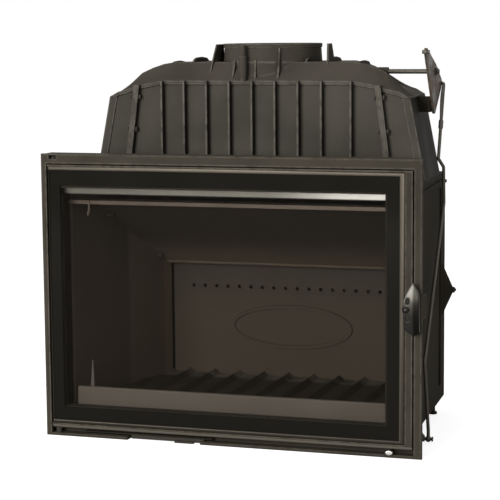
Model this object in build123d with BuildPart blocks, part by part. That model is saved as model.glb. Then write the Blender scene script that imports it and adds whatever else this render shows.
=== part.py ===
import os
from math import atan2, cos, degrees, radians, sin, sqrt

from build123d import *

# Fireplace insert. Millimetres, X to the right, Y to the rear, Z up. The origin is the middle of the
# front frame's underside. Depths are counted from the frame's front face.

# front frame
frame_width = 800.0
frame_height = 590.0
frame_depth = 40.0
left_band = 12.0
right_band = 16.0
top_band = 20.0
lip_height = 6.0
pocket_depth = 24.0
opening_left_margin = 32.0
opening_right_margin = 62.0
opening_top_margin = 71.0
opening_bottom = 46.0
frame_edge_radius = 2.0
frame_plate = 8.0
frame_side_step = 7.0
frame_keeper_pad = 6.0
port_count = 4
port_inset = 20.0
port_pitch = 34.0
port_width = 24.0
port_bottom = 20.0
port_height = 10.0

# bolts between the frame and the body
frame_bolt_radius = 4.0
frame_bolt_grip = 12.0
frame_bolt_edge = 12.0
frame_bolt_low = 57.0
frame_bolt_under_handle = 81.0
frame_bolt_over_handle = 89.0
frame_bolt_high = 25.0
top_bolt_pitch = 250.0
top_bolt_rise = 14.0
top_flange_margin = 12.0
bolt_head = 6.5
bolt_head_height = 5.0

# door
door_gap_left = 2.0
door_gap_right = 3.0
door_gap_top = 2.5
door_seat_gap = 2.0
door_bottom = 16.5
door_edge_radius = 9.0
door_back_chamfer = 8.0
right_stile = 15.0
top_stile = 3.5
bottom_stile = 10.5
bead_depth = 3.0
bead_left = 4.0
bead_right = 12.0
bead_top = 9.0
bead_bottom = 8.0
bead_edge = 0.6
glass_cover = 2.0
glass_thickness = 4.0
glass_fit = 0.5
gasket_thickness = 1.5
gasket_width = 10.0
gasket_inset = 1.0
view_left_margin = 0.5
view_right_margin = 13.0
view_rise = 46.5
view_top_margin = 1.0
rope_width = 8.0
rope_inset = 1.0
rope_side_room = 2.0
rope_top_room = 3.0
rope_groove = 6.0
rope_proud = 1.5
rope_fit = 0.2
bead_screw_radius = 1.5
bead_screw_head = 2.6
bead_screw_pocket = 2.0
bead_screw_fit = 0.2
bead_screw_reach = (250.0, 85.0)
bead_screw_low = 103.0
bead_screw_high = 94.0

# hinge pins
pin_radius = 3.0
pin_fit = 0.05
pin_inset = 12.0
pin_depth = 7.0
pin_grip = 15.0
pin_top_cover = 5.0
pin_head_radius = 5.0
pin_head_height = 4.0
pin_notch_height = 8.0
pin_notch_above = 9.0
pin_notch_room = 3.0
collar_radius = 6.0
collar_gap = 0.2

# handle and latch
handle_height = 301.0
handle_inset = 7.0
handle_top = 52.0
handle_bottom = 51.0
handle_left = 5.5
handle_right = 25.5
handle_plate = 5.5
handle_bow = 190.0
handle_stand = 26.0
handle_boss_radius = 9.0
handle_tip_reach = 12.0
handle_heel_reach = 17.0
handle_slot_length = 6.0
handle_slot_width = 7.0
handle_slot_shift = 3.0
handle_slot_rise = 17.0
spindle_radius = 4.0
spindle_fit = 0.05
washer_radius = 7.0
washer_gap = 0.5
washer_thickness = 2.5
cap_nut_radius = 6.5
cap_nut_depth = 3.0
cap_height = 4.0
cam_thickness = 5.0
cam_gap = 2.0
cam_hub_radius = 8.5
cam_reach = 15.5
cam_width = 10.0
cam_nut_depth = 4.0
latch_clearance = 4.0
keeper_depth = 9.0
keeper_recess = 8.0
keeper_plate = 1.7
keeper_inset = 2.0

# air slide
notch_left = 219.0
notch_right = 60.0
slide_overlap = 6.0
slide_slit = 6.0
slide_thickness = 3.0
slide_fit = 0.3
slide_setback = 9.0
slide_height = 7.7
slide_floor = 1.5
tab_inset = 103.0
tab_width = 41.0
tab_front = 1.5
tab_floor = 0.5
tab_clearance = 1.2
slide_travel_left = 98.0
slide_travel_right = 12.0
guide_thickness = 2.0
guide_gap = 0.3

# body
wall_setback = 28.0
wall_taper = 0.0536
wall_thickness = 6.0
wall_bottom = 33.0
wall_drop = 85.0
body_depth = 466.0
body_flange = 6.0
flange_setback = 8.0
back_wall_thickness = 8.0
base_rise = 2.0
base_thickness = 7.0
floor_thickness = 5.0
ridge_height = 10.0
ridge_half = 13.0
ridge_pitch = 58.5
ridge_count = 11
top_thickness = 6.0
top_overhang = 3.0
top_rear_overhang = 4.0
smoke_setback = 8.0
smoke_margin = 30.0
pyramid_from_rear = 42.0
pyramid_level = 275.0
pyramid_half_depth = 32.0
pyramid_half_height = 69.0
pyramid_rise = 24.0
pyramid_nub = 7.0
bead_from_rear = 74.0
bead_rise = 3.5
bead_half = 1.5
foot_inset = 37.0
foot_from_rear = 51.0
foot_bolt_radius = 5.0
foot_boss_radius = 10.0
foot_boss_drop = 14.0
foot_nut_height = 8.0
foot_pad_radius = 9.0
foot_pad_height = 5.0

# firebox
lining_setback = 22.0
lining_from_rear = 26.0
lining_inset = 14.0
lining_splay = 80.0
lining_thickness = 6.0
lining_drop = 5.0
back_lining_height = 270.0
back_lining_thickness = 8.0
back_lining_gap = 4.0
back_hole_radius = 4.0
back_hole_drop = 69.0
back_hole_pitch = 27.25
back_hole_count = 18
oval_width = 282.0
oval_height = 100.0
oval_over_hearth = 113.5
back_pattern_shift = 6.0
oval_rim = 8.0
oval_rise = 4.0
baffle_nose_gap = 16.0
baffle_front_depth = 150.0
baffle_drop = 25.0
baffle_fall = 159.0
baffle_thickness = 10.0
baffle_nose_swell = 3.0
baffle_clearance = 0.5
rest_pin_radius = 5.0
rest_pin_reach = 14.0
rest_pin_front = 40.0
rest_pin_rear = 44.0
fender_setback = 4.0
fender_thickness = 12.0
fender_inset = 12.0
fender_height = 38.0
fender_edge = 4.0
post_inset_left = 28.0
post_inset_right = 21.0
post_width = 8.0
post_height = 54.0
post_tip = 8.0
lip_bar_height = 14.0
lip_bar_depth = 12.0
lip_bar_gap = 2.0
lip_notch = 6.0
lip_notch_fit = 0.3
lip_bar_thickness = 6.0
low_bar_drop = 37.0
low_bar_height = 8.0
low_bar_depth = 6.0
low_bar_setback = 14.0
hook_inset = 51.5
hook_drop = 22.5
hook_width = 4.0
hook_thickness = 2.5
hook_reach = 8.0
duct_left_margin = 13.0
duct_right_margin = 12.0
duct_reach = 34.0
duct_bottom = 16.0
duct_wall = 2.0
duct_slot_setback = 18.0
duct_slot_width = 11.0
duct_slot_margin = 12.0

# hood
hood_depth = 240.0
hood_from_rear = 16.0
hood_rise = 187.0
hood_flange_height = 18.0
hood_flange_reach = 18.0
hood_inset = 10.0
hood_narrowing = 22.0
hood_slope = 0.196
hood_wall = 7.0
seam_inset = 80.0
seam_rise = 64.0
seam_slope = 0.1275
seam_flange = 6.0
seam_depth = 15.0
seam_bolt_radius = 4.0
seam_bolt_rise = (49.0, 119.0, 188.0)
seam_flange_rise = 26.0
rib_thickness = 4.0
rib_depth = 17.0
rib_pitch = 50.0
rib_first = -206.0
rib_count = 8
rib_last = 207.0
belt_rise = 5.0
belt_height = 8.0
corner_strip = 17.0
corner_strip_rise = 2.5
dome_rise = 73.0
dome_wall = 8.0
dome_slope_depth = 33.0
dome_rear_slope = 50.0
dome_rear_share = 0.85
fin_rise = 9.0
hood_bolt_corner = 42.0
hood_bolt_beside_seam = 57.0
hood_bolt_middle = 75.0

# flue collar and damper
flue_bore = 100.0
flue_offset = 1.0
collar_wall = 6.0
collar_waist = 2.0
collar_height = 38.0
collar_rim = 8.0
collar_ledge = 3.0
throat_step = 6.0
neck_depth = 43.0
shaft_tail = 16.0
tall_fin = 44.0
disc_gap = 1.5
disc_thickness = 4.0
shaft_drop = 22.0
shaft_radius = 5.0
shaft_fit = 0.05
shaft_end = 8.0
bush_radius = 9.0
bush_inset = 130.0
bush_length = 22.0
collar_screw_radius = 1.5
collar_screw_grip = 14.0
collar_screw_head = 1.8
stud_x = -30.0
stud_overhang = 4.0
stud_radius = 8.0
stud_step_radius = 6.0
stud_shoulder_rise = 14.0
stud_rise = 36.0

# lever, rod, crank and knob
lever_inset = 12.0
lever_thickness = 5.0
lever_eye_back = -84.0
lever_eye_rise = 42.0
lever_eye_radius = 8.0
lever_pin_radius = 4.0
lever_tip_back = -4.0
lever_tip_rise = -81.0
lever_tip_radius = 7.0
lever_hook_radius = 10.0
lever_hub_radius = 16.0
hook_back = 57.0
hook_down = 26.0
rod_radius = 3.5
rod_fit = 0.07
rod_gap = 11.0
sleeve_radius = 5.0
sleeve_length = 17.0
sleeve_from_hook = 82.0
crank_setback = 41.0
crank_drop = 12.0
crank_plate = 4.5
crank_pin_radius = 2.5
rod_eye_gap = 12.0
rod_eye_radius = 6.5
rod_eye_play = 0.7
arm_inset = 31.0
arm_plate = 4.0
arm_length = 13.0
arm_angle = 35.0
arm_pin_radius = 2.0
yoke_thickness = 3.0
yoke_gap = 3.5
yoke_play = 0.5
yoke_clearance = 2.0
yoke_half_depth = 9.0
yoke_foot_height = 9.0
knob_inset = 64.0
knob_level = 11.6
knob_width = 15.0
knob_height = 9.0
knob_thickness = 7.0
knob_stand = 1.0
knob_rod_radius = 3.0
knob_rod_fit = 0.05
knob_travel = 15.0
bracket_front = 90.0
bracket_depth = 30.0
bracket_height = 33.0
bracket_thickness = 4.0

# front frame and door places
front_y = -frame_depth / 2
half_width = frame_width / 2
opening_left = half_width - opening_left_margin
opening_right = half_width - opening_right_margin
opening_top = frame_height - opening_top_margin
lip_bar_bottom = opening_top - lip_bar_height
pocket_left = -half_width + left_band
pocket_right = half_width - right_band
pocket_top = frame_height - top_band
door_depth = pocket_depth - door_seat_gap
door_left = pocket_left + door_gap_left
door_right = pocket_right - door_gap_right
door_top = pocket_top - door_gap_top
bead_x0 = door_left
bead_x1 = door_right - right_stile
bead_z0 = door_bottom + bottom_stile
bead_z1 = door_top - top_stile
glass_x0 = bead_x0 + bead_left - glass_cover
glass_x1 = bead_x1 - bead_right + glass_cover
glass_z0 = bead_z0 + bead_bottom - glass_cover
glass_z1 = bead_z1 - bead_top + glass_cover
glass_front = bead_depth
glass_back = glass_front + glass_thickness
ledge = glass_back + gasket_thickness
view_left = opening_left - view_left_margin
view_right = opening_right - view_right_margin
view_bottom = door_bottom + view_rise
view_top = opening_top + view_top_margin
pin_x = door_left + pin_inset
spindle_x = door_right - handle_inset
cam_front = pocket_depth + cam_gap
cam_back = cam_front + cam_thickness

# body and firebox places
wall_half_front = half_width - wall_setback
flange_half = half_width - flange_setback
wall_top = frame_height - wall_drop
back_front = body_depth - back_wall_thickness
base_level = opening_bottom + base_rise
floor_level = base_level + base_thickness
hearth_level = floor_level + floor_thickness
pyramid_depth = body_depth - pyramid_from_rear
foot_x = wall_half_front - foot_inset
foot_depth = body_depth - foot_from_rear
lining_front = frame_depth + lining_setback
lining_rear = body_depth - lining_from_rear
lining_front_half = wall_half_front - lining_inset
lining_rear_half = lining_front_half - lining_splay
lining_top = wall_top - lining_drop
back_hole_level = hearth_level + back_lining_height - back_hole_drop
oval_level = hearth_level + oval_over_hearth
baffle_nose_depth = lining_rear - baffle_nose_gap
baffle_front_level = wall_top - baffle_drop
baffle_nose_level = baffle_front_level - baffle_fall
fender_depth = frame_depth + fender_setback
fender_half = lining_front_half - fender_inset
post_x = (post_inset_left - fender_half, fender_half - post_inset_right)
low_bar_bottom = opening_top - low_bar_drop
low_bar_at = frame_depth + low_bar_setback
hook_x = -opening_left + hook_inset
duct_left = notch_left + duct_left_margin
duct_right = notch_right - duct_right_margin
duct_depth = frame_depth + duct_reach
duct_slot_front = frame_depth + duct_slot_setback
duct_slot_rear = duct_slot_front + duct_slot_width

# hood, collar and damper places
hood_base = wall_top + top_thickness
hood_flange_top = hood_base + hood_flange_height
hood_top = hood_base + hood_rise
hood_rear = body_depth - hood_from_rear
hood_front = hood_rear - hood_depth
hood_split = (hood_front + hood_rear) / 2
hood_half_front = wall_half_front - hood_inset
hood_half_rear = hood_half_front - hood_narrowing
seam_half = hood_half_front - seam_inset
seam_level = hood_base + seam_rise
smoke_front = hood_front + smoke_setback
dome_front = hood_front + hood_wall
dome_flat_level = hood_top + dome_rise
dome_rear_start = hood_rear - dome_rear_slope
fin_level = dome_flat_level + fin_rise
flue_depth = hood_split + flue_offset
collar_base_radius = flue_bore + collar_wall
collar_top_radius = collar_base_radius - collar_waist
collar_top = dome_flat_level + collar_height
throat_radius = flue_bore - throat_step
neck_bottom = dome_flat_level - neck_depth
shaft_level = dome_flat_level - shaft_drop
shaft_depth = flue_depth
bush_start = hood_half_front - bush_inset
bush_end = bush_start + bush_length
collar_screw_circle = (flue_bore + throat_radius) / 2
stud_depth = dome_front - stud_overhang
stud_shoulder = dome_flat_level + stud_shoulder_rise
stud_top = dome_flat_level + stud_rise

# linkage places
lever_at = hood_half_front - lever_inset
rod_x = lever_at + rod_gap
hook_depth = shaft_depth + hook_back
hook_level = shaft_level - hook_down
crank_at = wall_half_front
crank_depth = frame_depth + crank_setback
crank_level = base_level - crank_drop
rod_eye_x = crank_at + rod_eye_gap
arm_at = wall_half_front - arm_inset
crank_pin_depth = crank_depth + hook_back
crank_pin_level = crank_level - hook_down
arm_pin_depth = crank_depth + arm_length * sin(radians(arm_angle))
arm_pin_level = crank_level + arm_length * cos(radians(arm_angle))
yoke_x = arm_at - yoke_gap - yoke_thickness / 2
knob_x = half_width - knob_inset
bracket_top = hood_top
bracket_bottom = bracket_top - bracket_height


def at(depth):
    return front_y + depth


def wall_half(depth):
    return wall_half_front - wall_taper * (depth - frame_depth)


def lining_half(depth):
    share = (depth - lining_front) / (lining_rear - lining_front)
    return lining_front_half - (lining_front_half - lining_rear_half) * share


def seam_at(level):
    return seam_half - seam_slope * (level - seam_level)


def hood_half(front, level):
    start = hood_half_front if front else hood_half_rear
    return start - hood_slope * (level - hood_flange_top)


def block(x0, x1, d0, d1, z0, z1, mode=Mode.ADD):
    with Locations(((x0 + x1) / 2, at((d0 + d1) / 2), (z0 + z1) / 2)):
        return Box(abs(x1 - x0), abs(d1 - d0), abs(z1 - z0), mode=mode)


def bar_x(x0, x1, depth, level, radius, mode=Mode.ADD):
    with Locations(Location(((x0 + x1) / 2, at(depth), level), (0, 90, 0))):
        return Cylinder(radius, abs(x1 - x0), mode=mode)


def bar_y(x, d0, d1, level, radius, mode=Mode.ADD):
    with Locations(Location((x, at((d0 + d1) / 2), level), (90, 0, 0))):
        return Cylinder(radius, abs(d1 - d0), mode=mode)


def bar_z(x, depth, z0, z1, radius, mode=Mode.ADD):
    with Locations((x, at(depth), (z0 + z1) / 2)):
        return Cylinder(radius, abs(z1 - z0), mode=mode)


def plan(points, z0, z1, mode=Mode.ADD):
    """Upright prism over points given as (x, depth)."""
    with BuildSketch(Plane.XY.offset(z0)) as shape:
        Polygon(*[(x, at(depth)) for x, depth in points], align=None)
    return extrude(shape.sketch, amount=z1 - z0, mode=mode)


def side(points, x0, x1, mode=Mode.ADD):
    """Prism along X over points given as (depth, level)."""
    with BuildSketch(Plane.YZ.offset(x0)) as shape:
        Polygon(*[(at(depth), level) for depth, level in points], align=None)
    return extrude(shape.sketch, amount=x1 - x0, mode=mode)


def front(points, d0, d1, mode=Mode.ADD):
    """Prism along Y over points given as (x, level)."""
    with BuildSketch(Plane.XZ.offset(-at(d0))) as shape:
        Polygon(*points, align=None)
    return extrude(shape.sketch, amount=-(d1 - d0), mode=mode)


def hex_y(x, d0, d1, level, radius, mode=Mode.ADD):
    with BuildSketch(Plane.XZ.offset(-at(d0))) as shape:
        with Locations((x, level)):
            RegularPolygon(radius, 6)
    return extrude(shape.sketch, amount=-(d1 - d0), mode=mode)


def hex_z(x, depth, z0, z1, radius, mode=Mode.ADD):
    with BuildSketch(Plane.XY.offset(z0)) as shape:
        with Locations((x, at(depth))):
            RegularPolygon(radius, 6)
    return extrude(shape.sketch, amount=z1 - z0, mode=mode)


def hex_x(x0, x1, depth, level, radius, mode=Mode.ADD):
    with BuildSketch(Plane.YZ.offset(x0)) as shape:
        with Locations((at(depth), level)):
            RegularPolygon(radius, 6)
    return extrude(shape.sketch, amount=x1 - x0, mode=mode)


def save(piece, name):
    piece.part.label = name
    export_step(piece.part, f"parts/{name}.step")


os.makedirs("parts", exist_ok=True)

# ---- front frame and what is fixed in it ----
frame_bolt_x = flange_half - frame_bolt_edge
frame_bolt_levels = (wall_bottom + frame_bolt_low, handle_height - frame_bolt_under_handle,
                     handle_height + frame_bolt_over_handle, wall_top - frame_bolt_high)
top_bolt_x = (-top_bolt_pitch, 0.0, top_bolt_pitch)
top_bolt_level = wall_top + top_thickness + top_bolt_rise
pin_notch_bottom = pocket_top + pin_notch_above
slot_left = spindle_x - cam_hub_radius - latch_clearance - 1.5
slot_half = cam_reach + latch_clearance
keeper_low = handle_height - slot_half + keeper_inset
keeper_high = handle_height + slot_half - keeper_inset
slide_left = -notch_left + slide_slit
slide_right = -notch_right + slide_overlap
slide_rear = slide_setback + slide_thickness
slide_bottom = slide_floor + slide_fit
guide_bottom = slide_bottom + slide_height + guide_gap
guide_left = slide_left - slide_travel_left - slide_overlap
guide_right = slide_right + slide_travel_right + slide_overlap

with BuildPart() as front_frame:
    block(-half_width, half_width, 0, frame_depth, 0, frame_height)
    fillet(front_frame.faces().sort_by(Axis.Y)[0].edges(), frame_edge_radius)
    block(-half_width, -half_width + frame_side_step, frame_plate, frame_depth, 0, frame_height, Mode.SUBTRACT)
    for low, high in ((0, keeper_low - frame_keeper_pad), (keeper_high + frame_keeper_pad, frame_height)):
        block(half_width - frame_side_step, half_width, frame_plate, frame_depth, low, high, Mode.SUBTRACT)
    block(pocket_left, pocket_right, -1, pocket_depth, lip_height, pocket_top, Mode.SUBTRACT)
    block(-opening_left, opening_right, pocket_depth - 1, frame_depth + 1,
          opening_bottom, opening_top, Mode.SUBTRACT)
    block(-opening_left - lip_notch, opening_right + lip_notch, pocket_depth + 1, frame_depth + 1,
          lip_bar_bottom - lip_notch_fit, opening_top, Mode.SUBTRACT)
    block(-notch_left, -notch_right, -1, frame_depth + 1, -1, lip_height, Mode.SUBTRACT)
    block(guide_left, guide_right, slide_setback - slide_fit, slide_rear + slide_fit,
          slide_floor, lip_height + 1, Mode.SUBTRACT)
    block(slot_left, pocket_right, pocket_depth - 1, frame_depth + 1,
          handle_height - slot_half, handle_height + slot_half, Mode.SUBTRACT)
    block(pocket_right - 1, pocket_right + keeper_recess, pocket_depth, pocket_depth + keeper_depth,
          keeper_low, keeper_high, Mode.SUBTRACT)
    bar_y(knob_x, pocket_depth - 1, frame_depth + 1, knob_level, knob_rod_radius + knob_rod_fit,
          Mode.SUBTRACT)
    for port in range(port_count):
        port_x = -notch_left + port_inset + port_pitch * port
        block(port_x, port_x + port_width, pocket_depth - 1, frame_depth + 1,
              port_bottom, port_bottom + port_height, Mode.SUBTRACT)
    bar_z(pin_x, pin_depth, pocket_top - 1, frame_height - pin_top_cover, pin_radius, Mode.SUBTRACT)
    block(pin_x - pin_head_radius - pin_notch_room, pin_x + pin_head_radius + pin_notch_room, -1,
          pin_depth + pin_head_radius + pin_notch_room - 1,
          pin_notch_bottom, pin_notch_bottom + pin_notch_height, Mode.SUBTRACT)
    bar_z(pin_x, pin_depth, 1, lip_height + 1, pin_radius, Mode.SUBTRACT)
    for sign in (-1, 1):
        for level in frame_bolt_levels:
            bar_y(sign * frame_bolt_x, frame_depth - frame_bolt_grip, frame_depth + 1, level,
                  frame_bolt_radius, Mode.SUBTRACT)
    for x in top_bolt_x:
        bar_y(x, frame_depth - frame_bolt_grip, frame_depth + 1, top_bolt_level,
              frame_bolt_radius, Mode.SUBTRACT)
save(front_frame, "front_frame")

with BuildPart() as hinge_pins:
    bar_z(pin_x, pin_depth, door_top - pin_grip / 2, pin_notch_bottom, pin_radius)
    bar_z(pin_x, pin_depth, pin_notch_bottom, pin_notch_bottom + pin_head_height, pin_head_radius)
    bar_z(pin_x, pin_depth, 1, door_bottom + pin_grip - 1, pin_radius)
    bar_z(pin_x, pin_depth, lip_height, door_bottom - collar_gap, collar_radius)
save(hinge_pins, "hinge_pins")

with BuildPart() as latch_keeper:
    block(pocket_right + 0.2, pocket_right + keeper_recess, pocket_depth, pocket_depth + keeper_plate,
          keeper_low, keeper_high)
save(latch_keeper, "latch_keeper")

with BuildPart() as slide_guide:
    block(guide_left, guide_right, slide_setback - slide_fit, pocket_depth,
          guide_bottom, guide_bottom + guide_thickness)
save(slide_guide, "slide_guide")

with BuildPart() as air_slide:
    block(slide_left, slide_right, slide_setback, slide_rear, slide_bottom, slide_bottom + slide_height)
    tab_left = -notch_left + tab_inset
    block(tab_left, tab_left + tab_width, tab_front, slide_setback, tab_floor, lip_height - tab_clearance)
save(air_slide, "air_slide")

# ---- door leaf ----
rope_left = -opening_left - rope_inset - rope_width
rope_right = opening_right + rope_inset + rope_side_room + rope_width
rope_bottom = opening_bottom - rope_inset - rope_side_room - rope_width
rope_top = opening_top + rope_inset + rope_top_room + rope_width
bead_screw_x = [sign * reach for reach in bead_screw_reach for sign in (-1, 1)]
bead_screw_top = (glass_z1 + bead_z1) / 2 + 0.2
bead_screw_bottom = (bead_z0 + glass_z0) / 2
bead_screw_side = (glass_x1 + bead_x1) / 2
bead_screw_levels = (bead_z0 + bead_screw_low, (bead_z0 + bead_z1) / 2, bead_z1 - bead_screw_high)
bead_screw_spots = [(x, bead_screw_top) for x in bead_screw_x]
bead_screw_spots += [(x, bead_screw_bottom) for x in bead_screw_x]
bead_screw_spots += [(bead_screw_side, level) for level in bead_screw_levels]

with BuildPart() as door_frame:
    block(door_left, door_right, 0, door_depth, door_bottom, door_top)
    low_edges = door_frame.edges().filter_by(Axis.X).group_by(Axis.Z)[0]
    fillet(low_edges.sort_by(Axis.Y)[0], door_edge_radius)
    left_edges = door_frame.edges().filter_by(Axis.Z).group_by(Axis.X)[0]
    chamfer(left_edges.sort_by(Axis.Y)[-1], door_back_chamfer)
    block(door_left - 1, bead_x1, -1, bead_depth, bead_z0, bead_z1, Mode.SUBTRACT)
    block(glass_x0 - glass_fit, glass_x1 + glass_fit, glass_front - 1, ledge,
          glass_z0 - glass_fit, glass_z1 + glass_fit, Mode.SUBTRACT)
    block(-view_left, view_right, ledge - 1, door_depth + 1, view_bottom, view_top, Mode.SUBTRACT)
    block(rope_left, rope_right, door_depth - rope_groove, door_depth + 1, rope_bottom, rope_top,
          Mode.SUBTRACT)
    block(rope_left + rope_width, rope_right - rope_width, door_depth - rope_groove - 1, door_depth,
          rope_bottom + rope_width, rope_top - rope_width)
    block(-view_left, view_right, ledge - 1, door_depth + 1, view_bottom, view_top, Mode.SUBTRACT)
    bar_z(pin_x, pin_depth, door_top - pin_grip / 2 - 0.5, door_top + 1, pin_radius + pin_fit, Mode.SUBTRACT)
    bar_z(pin_x, pin_depth, door_bottom - 1, door_bottom + pin_grip, pin_radius + pin_fit, Mode.SUBTRACT)
    bar_y(spindle_x, -1, door_depth + 1, handle_height, spindle_radius + spindle_fit, Mode.SUBTRACT)
    for x, level in bead_screw_spots:
        bar_y(x, 0, door_depth + 1, level, bead_screw_radius, Mode.SUBTRACT)
        bar_y(x, door_depth - bead_screw_pocket, door_depth + 1, level, bead_screw_head + bead_screw_fit,
              Mode.SUBTRACT)
save(door_frame, "door_frame")

with BuildPart() as glass_bead:
    block(bead_x0, bead_x1, 0, bead_depth, bead_z0, bead_z1)
    left_edges = glass_bead.edges().filter_by(Axis.Z).group_by(Axis.X)[0]
    chamfer(left_edges.sort_by(Axis.Y)[0], bead_depth - bead_edge)
    block(bead_x0 + bead_left, bead_x1 - bead_right, -1, bead_depth + 1,
          bead_z0 + bead_bottom, bead_z1 - bead_top, Mode.SUBTRACT)
    for x, level in bead_screw_spots:
        bar_y(x, bead_depth - 2, bead_depth + 1, level, bead_screw_radius, Mode.SUBTRACT)
save(glass_bead, "glass_bead")

with BuildPart() as door_glass:
    block(glass_x0, glass_x1, glass_front, glass_back, glass_z0, glass_z1)
save(door_glass, "door_glass")

with BuildPart() as glass_gasket:
    gasket_inner = gasket_inset + gasket_width
    block(glass_x0 + gasket_inset, glass_x1 - gasket_inset, glass_back, ledge,
          glass_z0 + gasket_inset, glass_z1 - gasket_inset)
    block(glass_x0 + gasket_inner, glass_x1 - gasket_inner, glass_back - 1, ledge + 1,
          glass_z0 + gasket_inner, glass_z1 - gasket_inner, Mode.SUBTRACT)
save(glass_gasket, "glass_gasket")

with BuildPart() as bead_screws:
    for x, level in bead_screw_spots:
        bar_y(x, bead_depth - 2, door_depth - bead_screw_pocket, level, bead_screw_radius)
        bar_y(x, door_depth - bead_screw_pocket, door_depth - bead_screw_fit, level, bead_screw_head)
save(bead_screws, "bead_screws")

with BuildPart() as door_rope_seal:
    block(rope_left + rope_fit, rope_right - rope_fit, door_depth - rope_groove + rope_fit,
          door_depth + rope_proud, rope_bottom + rope_fit, rope_top - rope_fit)
    block(rope_left + rope_width - rope_fit, rope_right - rope_width + rope_fit, 0, frame_depth,
          rope_bottom + rope_width - rope_fit, rope_top - rope_width + rope_fit, Mode.SUBTRACT)
save(door_rope_seal, "door_rope_seal")

# ---- handle and latch ----
leaf_left = spindle_x - handle_left
leaf_right = spindle_x + handle_right
leaf_tip = (spindle_x + handle_tip_reach, handle_height + handle_top)
leaf_heel = (spindle_x + handle_heel_reach, handle_height - handle_bottom)
blade_front = -handle_stand
boss_front = blade_front + handle_plate

with BuildPart() as handle_blade:
    with BuildSketch(Plane.XZ.offset(-at(blade_front - 4))):
        with BuildLine():
            left_low = (leaf_left, handle_height - handle_bottom + 18)
            left_high = (leaf_left, handle_height + handle_top - 35)
            right_low = (leaf_right, handle_height - handle_bottom + 14)
            right_high = (leaf_right, handle_height + handle_top - 34)
            Line(left_low, left_high)
            ThreePointArc(left_high, (spindle_x + 2, handle_height + handle_top - 18), leaf_tip)
            ThreePointArc(leaf_tip, (spindle_x + 21.5, handle_height + handle_top - 15), right_high)
            Line(right_high, right_low)
            ThreePointArc(right_low, (spindle_x + 23, handle_height - handle_bottom + 4), leaf_heel)
            ThreePointArc(leaf_heel, (spindle_x + 3.5, handle_height - handle_bottom + 5.5), left_low)
        make_face()
    extrude(amount=-(handle_plate + 18))
    with BuildSketch(Plane.YZ.offset(leaf_left - 1)):
        with Locations((at(blade_front + handle_bow), handle_height)):
            Circle(handle_bow)
            Circle(handle_bow - handle_plate, mode=Mode.SUBTRACT)
    extrude(amount=leaf_right - leaf_left + 2, mode=Mode.INTERSECT)
    bar_y(spindle_x, boss_front - 2, -washer_gap - washer_thickness, handle_height, handle_boss_radius)
    with BuildSketch(Plane.XZ.offset(-at(blade_front - 4))):
        with Locations((spindle_x + handle_slot_shift, handle_height + handle_slot_rise),
                       (spindle_x + handle_slot_shift, handle_height - handle_slot_rise + 1)):
            SlotCenterToCenter(handle_slot_length, handle_slot_width, rotation=90)
    extrude(amount=-(handle_plate + 18), mode=Mode.SUBTRACT)
    bar_y(spindle_x, blade_front - 4, 0, handle_height, spindle_radius, Mode.SUBTRACT)
save(handle_blade, "handle_blade")

with BuildPart() as handle_spindle:
    bar_y(spindle_x, blade_front - 2, cam_back + cam_nut_depth, handle_height, spindle_radius)
    bar_y(spindle_x, -washer_gap - washer_thickness, -washer_gap, handle_height, washer_radius)
save(handle_spindle, "handle_spindle")

with BuildPart() as handle_nut:
    bar_y(spindle_x, blade_front - cap_nut_depth, blade_front, handle_height, cap_nut_radius)
    with Locations((spindle_x, at(blade_front - cap_nut_depth), handle_height)):
        Sphere(cap_nut_radius - 1)
    bar_y(spindle_x, blade_front - 2, 0, handle_height, spindle_radius, Mode.SUBTRACT)
    block(spindle_x - 20, spindle_x + 20, blade_front, 0, handle_height - 20, handle_height + 20,
          Mode.SUBTRACT)
save(handle_nut, "handle_nut")

with BuildPart() as latch_cam:
    bar_y(spindle_x, cam_front, cam_back, handle_height, cam_hub_radius)
    block(spindle_x - cam_width / 2, spindle_x + cam_width / 2, cam_front, cam_back,
          handle_height, handle_height + cam_reach)
    bar_y(spindle_x, cam_front - 1, cam_back + 1, handle_height, spindle_radius, Mode.SUBTRACT)
save(latch_cam, "latch_cam")

with BuildPart() as cam_nut:
    hex_y(spindle_x, cam_back, cam_back + cam_nut_depth, handle_height, cap_nut_radius)
    bar_y(spindle_x, cam_back - 1, cam_back + cam_nut_depth + 1, handle_height, spindle_radius,
          Mode.SUBTRACT)
save(cam_nut, "cam_nut")

# ---- body ----
def side_wall(sign):
    outer_front = wall_half(frame_depth)
    outer_rear = wall_half(body_depth)
    plan([(sign * (outer_front - wall_thickness), frame_depth), (sign * outer_front, frame_depth),
          (sign * outer_rear, body_depth), (sign * (outer_rear - wall_thickness), body_depth)],
         wall_bottom, wall_top)
    block(sign * (outer_front - wall_thickness), sign * flange_half, frame_depth, frame_depth + body_flange,
          wall_bottom, wall_top)
    bead_at = body_depth - bead_from_rear
    block(sign * (wall_half(bead_at) - 2), sign * (wall_half(bead_at) + bead_rise), bead_at - bead_half,
          bead_at + bead_half, wall_bottom + wall_thickness * 6, wall_top - wall_thickness)
    wall_x = wall_half(pyramid_depth)
    with BuildSketch(Plane.YZ.offset(sign * (wall_x - 4))) as foot:
        with Locations((at(pyramid_depth), pyramid_level)):
            Polygon((-pyramid_half_depth, 0), (0, pyramid_half_height), (pyramid_half_depth, 0),
                    (0, -pyramid_half_height), align=None)
    with BuildSketch(Plane.YZ.offset(sign * (wall_x + pyramid_rise))) as tip:
        with Locations((at(pyramid_depth), pyramid_level)):
            Polygon((-pyramid_nub, 0), (0, pyramid_nub), (pyramid_nub, 0), (0, -pyramid_nub), align=None)
    loft([foot.sketch.face(), tip.sketch.face()])
    for level in frame_bolt_levels:
        bar_y(sign * frame_bolt_x, frame_depth - 1, frame_depth + body_flange + 1, level,
              frame_bolt_radius, Mode.SUBTRACT)


with BuildPart() as side_wall_left:
    side_wall(-1)
save(side_wall_left, "side_wall_left")

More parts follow.
